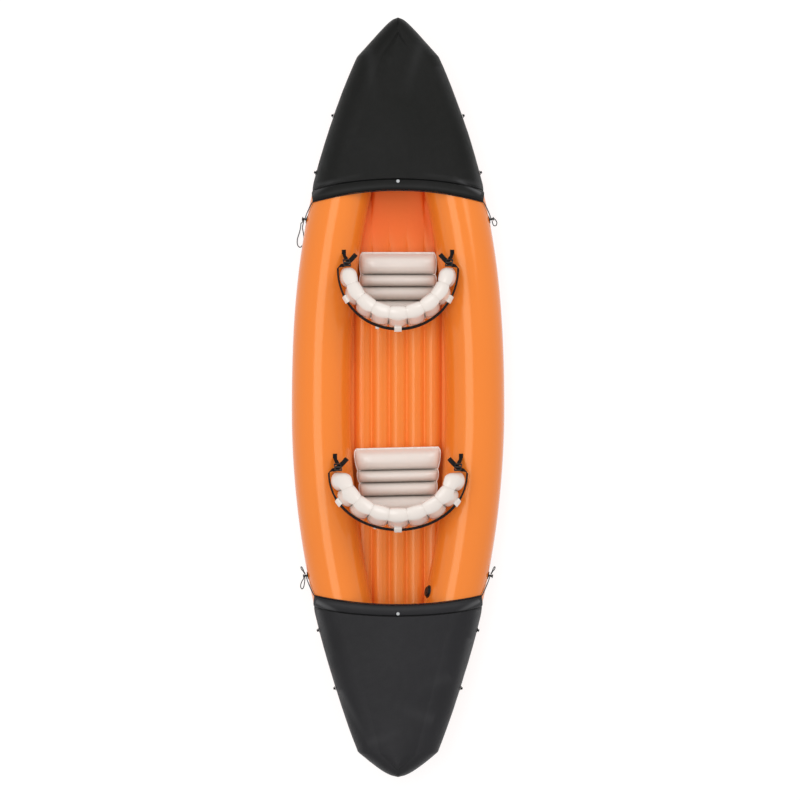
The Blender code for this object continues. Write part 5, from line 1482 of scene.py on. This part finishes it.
# The seat's crease colour is darker than its body: painted shade in the welds' grooves and along the
# cushions' side seams.
seat_pvc = pvc(
    "seat_pvc", colour=(0.78, 0.705, 0.65, 1), patch_colour=(0.80, 0.73, 0.675, 1),
    painted_crease_colour=(0.45, 0.40, 0.36, 1), deep_colour=(0.78, 0.70, 0.65, 1), roughness=0.13,
    tint=(1, 1, 1, 1),
)
bow_cloth = cover_cloth(
    "bow_cloth", dark=(0.0020, 0.0024, 0.0014, 1), pale=(0.0075, 0.0075, 0.0072, 1), gloss=0.13
)
stern_cloth = cover_cloth(
    "stern_cloth", dark=(0.0070, 0.0068, 0.0078, 1), pale=(0.0170, 0.0165, 0.0190, 1), gloss=0.20
)
webbing_look = webbing()
braid_look = braid()
black_plastic = moulded(
    "black_plastic", low=(0.007, 0.007, 0.007, 1), high=(0.018, 0.018, 0.018, 1), roughness=0.4
)
grey_plastic = moulded(
    "grey_plastic", low=(0.40, 0.41, 0.42, 1), high=(0.54, 0.55, 0.56, 1), roughness=0.35
)


# Making


camera_data = bpy.data.cameras.new("camera")
camera = bpy.data.objects.new("camera", camera_data)
bpy.context.scene.collection.objects.link(camera)
METRES_PER_PIXEL = 0.00425
PICTURE_PIXELS = 800
MIDDLE_OFF_PIXELS = (2.0, -2.5)
CAMERA_HEIGHT, SHARP_HEIGHT = 16.0, 0.15
SENSOR = 36
off_x, off_y = (METRES_PER_PIXEL * pixels for pixels in MIDDLE_OFF_PIXELS)
camera.location = (off_x, off_y, CAMERA_HEIGHT)
camera_data.sensor_width = SENSOR
camera_data.lens = SENSOR * (CAMERA_HEIGHT - SHARP_HEIGHT) / (PICTURE_PIXELS * METRES_PER_PIXEL)
camera_data.clip_end = 100
bpy.context.scene.camera = camera

for loop_name, sign, side, offsets, leaves, returns in LOOPS:
    hanging_loop(loop_name, sign, side, offsets, leaves, returns, braid_look)
for end, sign, rim in (("bow", 1, BOW_RIM), ("stern", -1, STERN_RIM)):
    rim_cord = round_cord(f"{end}_rim_line", rim_cord_route(sign, rim))
    fit_out(rim_cord, braid_look, "cord_black", "hull", f"{end}_rim_cord")

side_tube("tube_skin_left", -1, hull_pvc)
side_tube("tube_skin_right", 1, hull_pvc)
air_floor(hull_pvc)
for end in ("bow", "stern"):
    end_cover(end, bow_cloth if end == "bow" else stern_cloth)
    for where in ("left", "right"):
        cord_anchor(end, where, black_plastic)
        for index in (1, 2):
            cover_button(end, where, index, black_plastic)
for where in VALVES:
    tube_valve(where, black_plastic)
floor_valve(black_plastic)

for prefix in SEATS:
    shape = Backrest(prefix)
    cushion(prefix, seat_pvc)
    backrest(prefix, shape, seat_pvc)
    back_strap(prefix, shape, webbing_look)
    for where in ("left", "middle", "right"):
        strap_keeper(prefix, shape, where, seat_pvc)
    for where in ("left", "right"):
        hull_tab(prefix, shape, where, webbing_look)
    seat_stopper(prefix, shape, seat_pvc)

# Buckles, studs and the fin base keep their CAD meshes
for node, piece in frame["nodes"].items():
    if piece.hide_render:
        continue
    look = grey_plastic if "stud" in node else black_plastic
    piece.data.materials.clear()
    piece.data.materials.append(look)


# Studio

bpy.context.scene.view_settings.view_transform = "Standard"


def seen_directly(tree):
    """1 for rays of the camera, of reflections and through clear things, otherwise 0."""
    path = tree.nodes.new("ShaderNodeLightPath")
    seen = path.outputs["Is Camera Ray"]
    for kind in ("Is Glossy Ray", "Is Transmission Ray"):
        either = tree.nodes.new("ShaderNodeMath")
        either.operation = "MAXIMUM"
        tree.links.new(seen, either.inputs[0])
        tree.links.new(path.outputs[kind], either.inputs[1])
        seen = either.outputs[0]
    return seen


def studio_floor(glow, shown, lit):
    """White with a soft shadow where it is seen, and a plain pale surface to the light."""
    made = bpy.data.materials.new("studio_floor")
    made.use_nodes = True
    tree = made.node_tree
    plain = tree.nodes["Principled BSDF"]
    plain.inputs["Base Color"].default_value = (lit, lit, lit, 1)
    plain.inputs["Roughness"].default_value = 0.9
    shadowed = tree.nodes.new("ShaderNodeBsdfDiffuse")
    shadowed.inputs["Color"].default_value = (shown, shown, shown, 1)
    white = tree.nodes.new("ShaderNodeEmission")
    white.inputs["Strength"].default_value = glow
    both = tree.nodes.new("ShaderNodeAddShader")
    tree.links.new(shadowed.outputs[0], both.inputs[0])
    tree.links.new(white.outputs[0], both.inputs[1])
    choice = tree.nodes.new("ShaderNodeMixShader")
    tree.links.new(seen_directly(tree), choice.inputs[0])
    tree.links.new(plain.outputs[0], choice.inputs[1])
    tree.links.new(both.outputs[0], choice.inputs[2])
    tree.links.new(choice.outputs[0], tree.nodes["Material Output"].inputs["Surface"])
    return made


FLOOR_REACH, FLOOR_DROP = 30, 0.001
ground = bpy.data.meshes.new("ground")
ground.from_pydata(
    [(FLOOR_REACH * x, FLOOR_REACH * y, 0) for x, y in ((-1, -1), (1, -1), (1, 1), (-1, 1))], [],
    [(0, 1, 2, 3)],
)
ground_piece = bpy.data.objects.new("ground", ground)
bpy.context.scene.collection.objects.link(ground_piece)
ground.materials.append(studio_floor(glow=0.78, shown=0.30, lit=0.75))
ground_piece.location.z = -FLOOR_DROP

WORLD_LIGHT = 0.73
world = bpy.data.worlds.new("studio")
bpy.context.scene.world = world
world.use_nodes = True
backdrop = world.node_tree.nodes["Background"]
backdrop.inputs["Color"].default_value = (1, 1, 1, 1)
level = world.node_tree.nodes.new("ShaderNodeMapRange")
level.inputs["To Min"].default_value = WORLD_LIGHT
world.node_tree.links.new(seen_directly(world.node_tree), level.inputs["Value"])
world.node_tree.links.new(level.outputs["Result"], backdrop.inputs["Strength"])


def soft_lamp(name, place, size, power):
    """A rectangular lamp that looks at the middle of the canoe, its first side lengthwise."""
    data = bpy.data.lights.new(name, "AREA")
    data.shape = "RECTANGLE"
    data.size, data.size_y = size
    data.energy = power
    lamp = bpy.data.objects.new(name, data)
    lamp.location = place
    aim = Vector((0, 0, 0.1)) - Vector(place)
    lamp.rotation_mode = "QUATERNION"
    lamp.rotation_quaternion = aim.to_track_quat("-Z", "Y")
    bpy.context.scene.collection.objects.link(lamp)


soft_lamp("overhead", place=(-1.4, 0, 4.5), size=(3.8, 2.4), power=68)
soft_lamp("bow_side", place=(2.5, 2.5, 4.0), size=(2.5, 2.5), power=48)
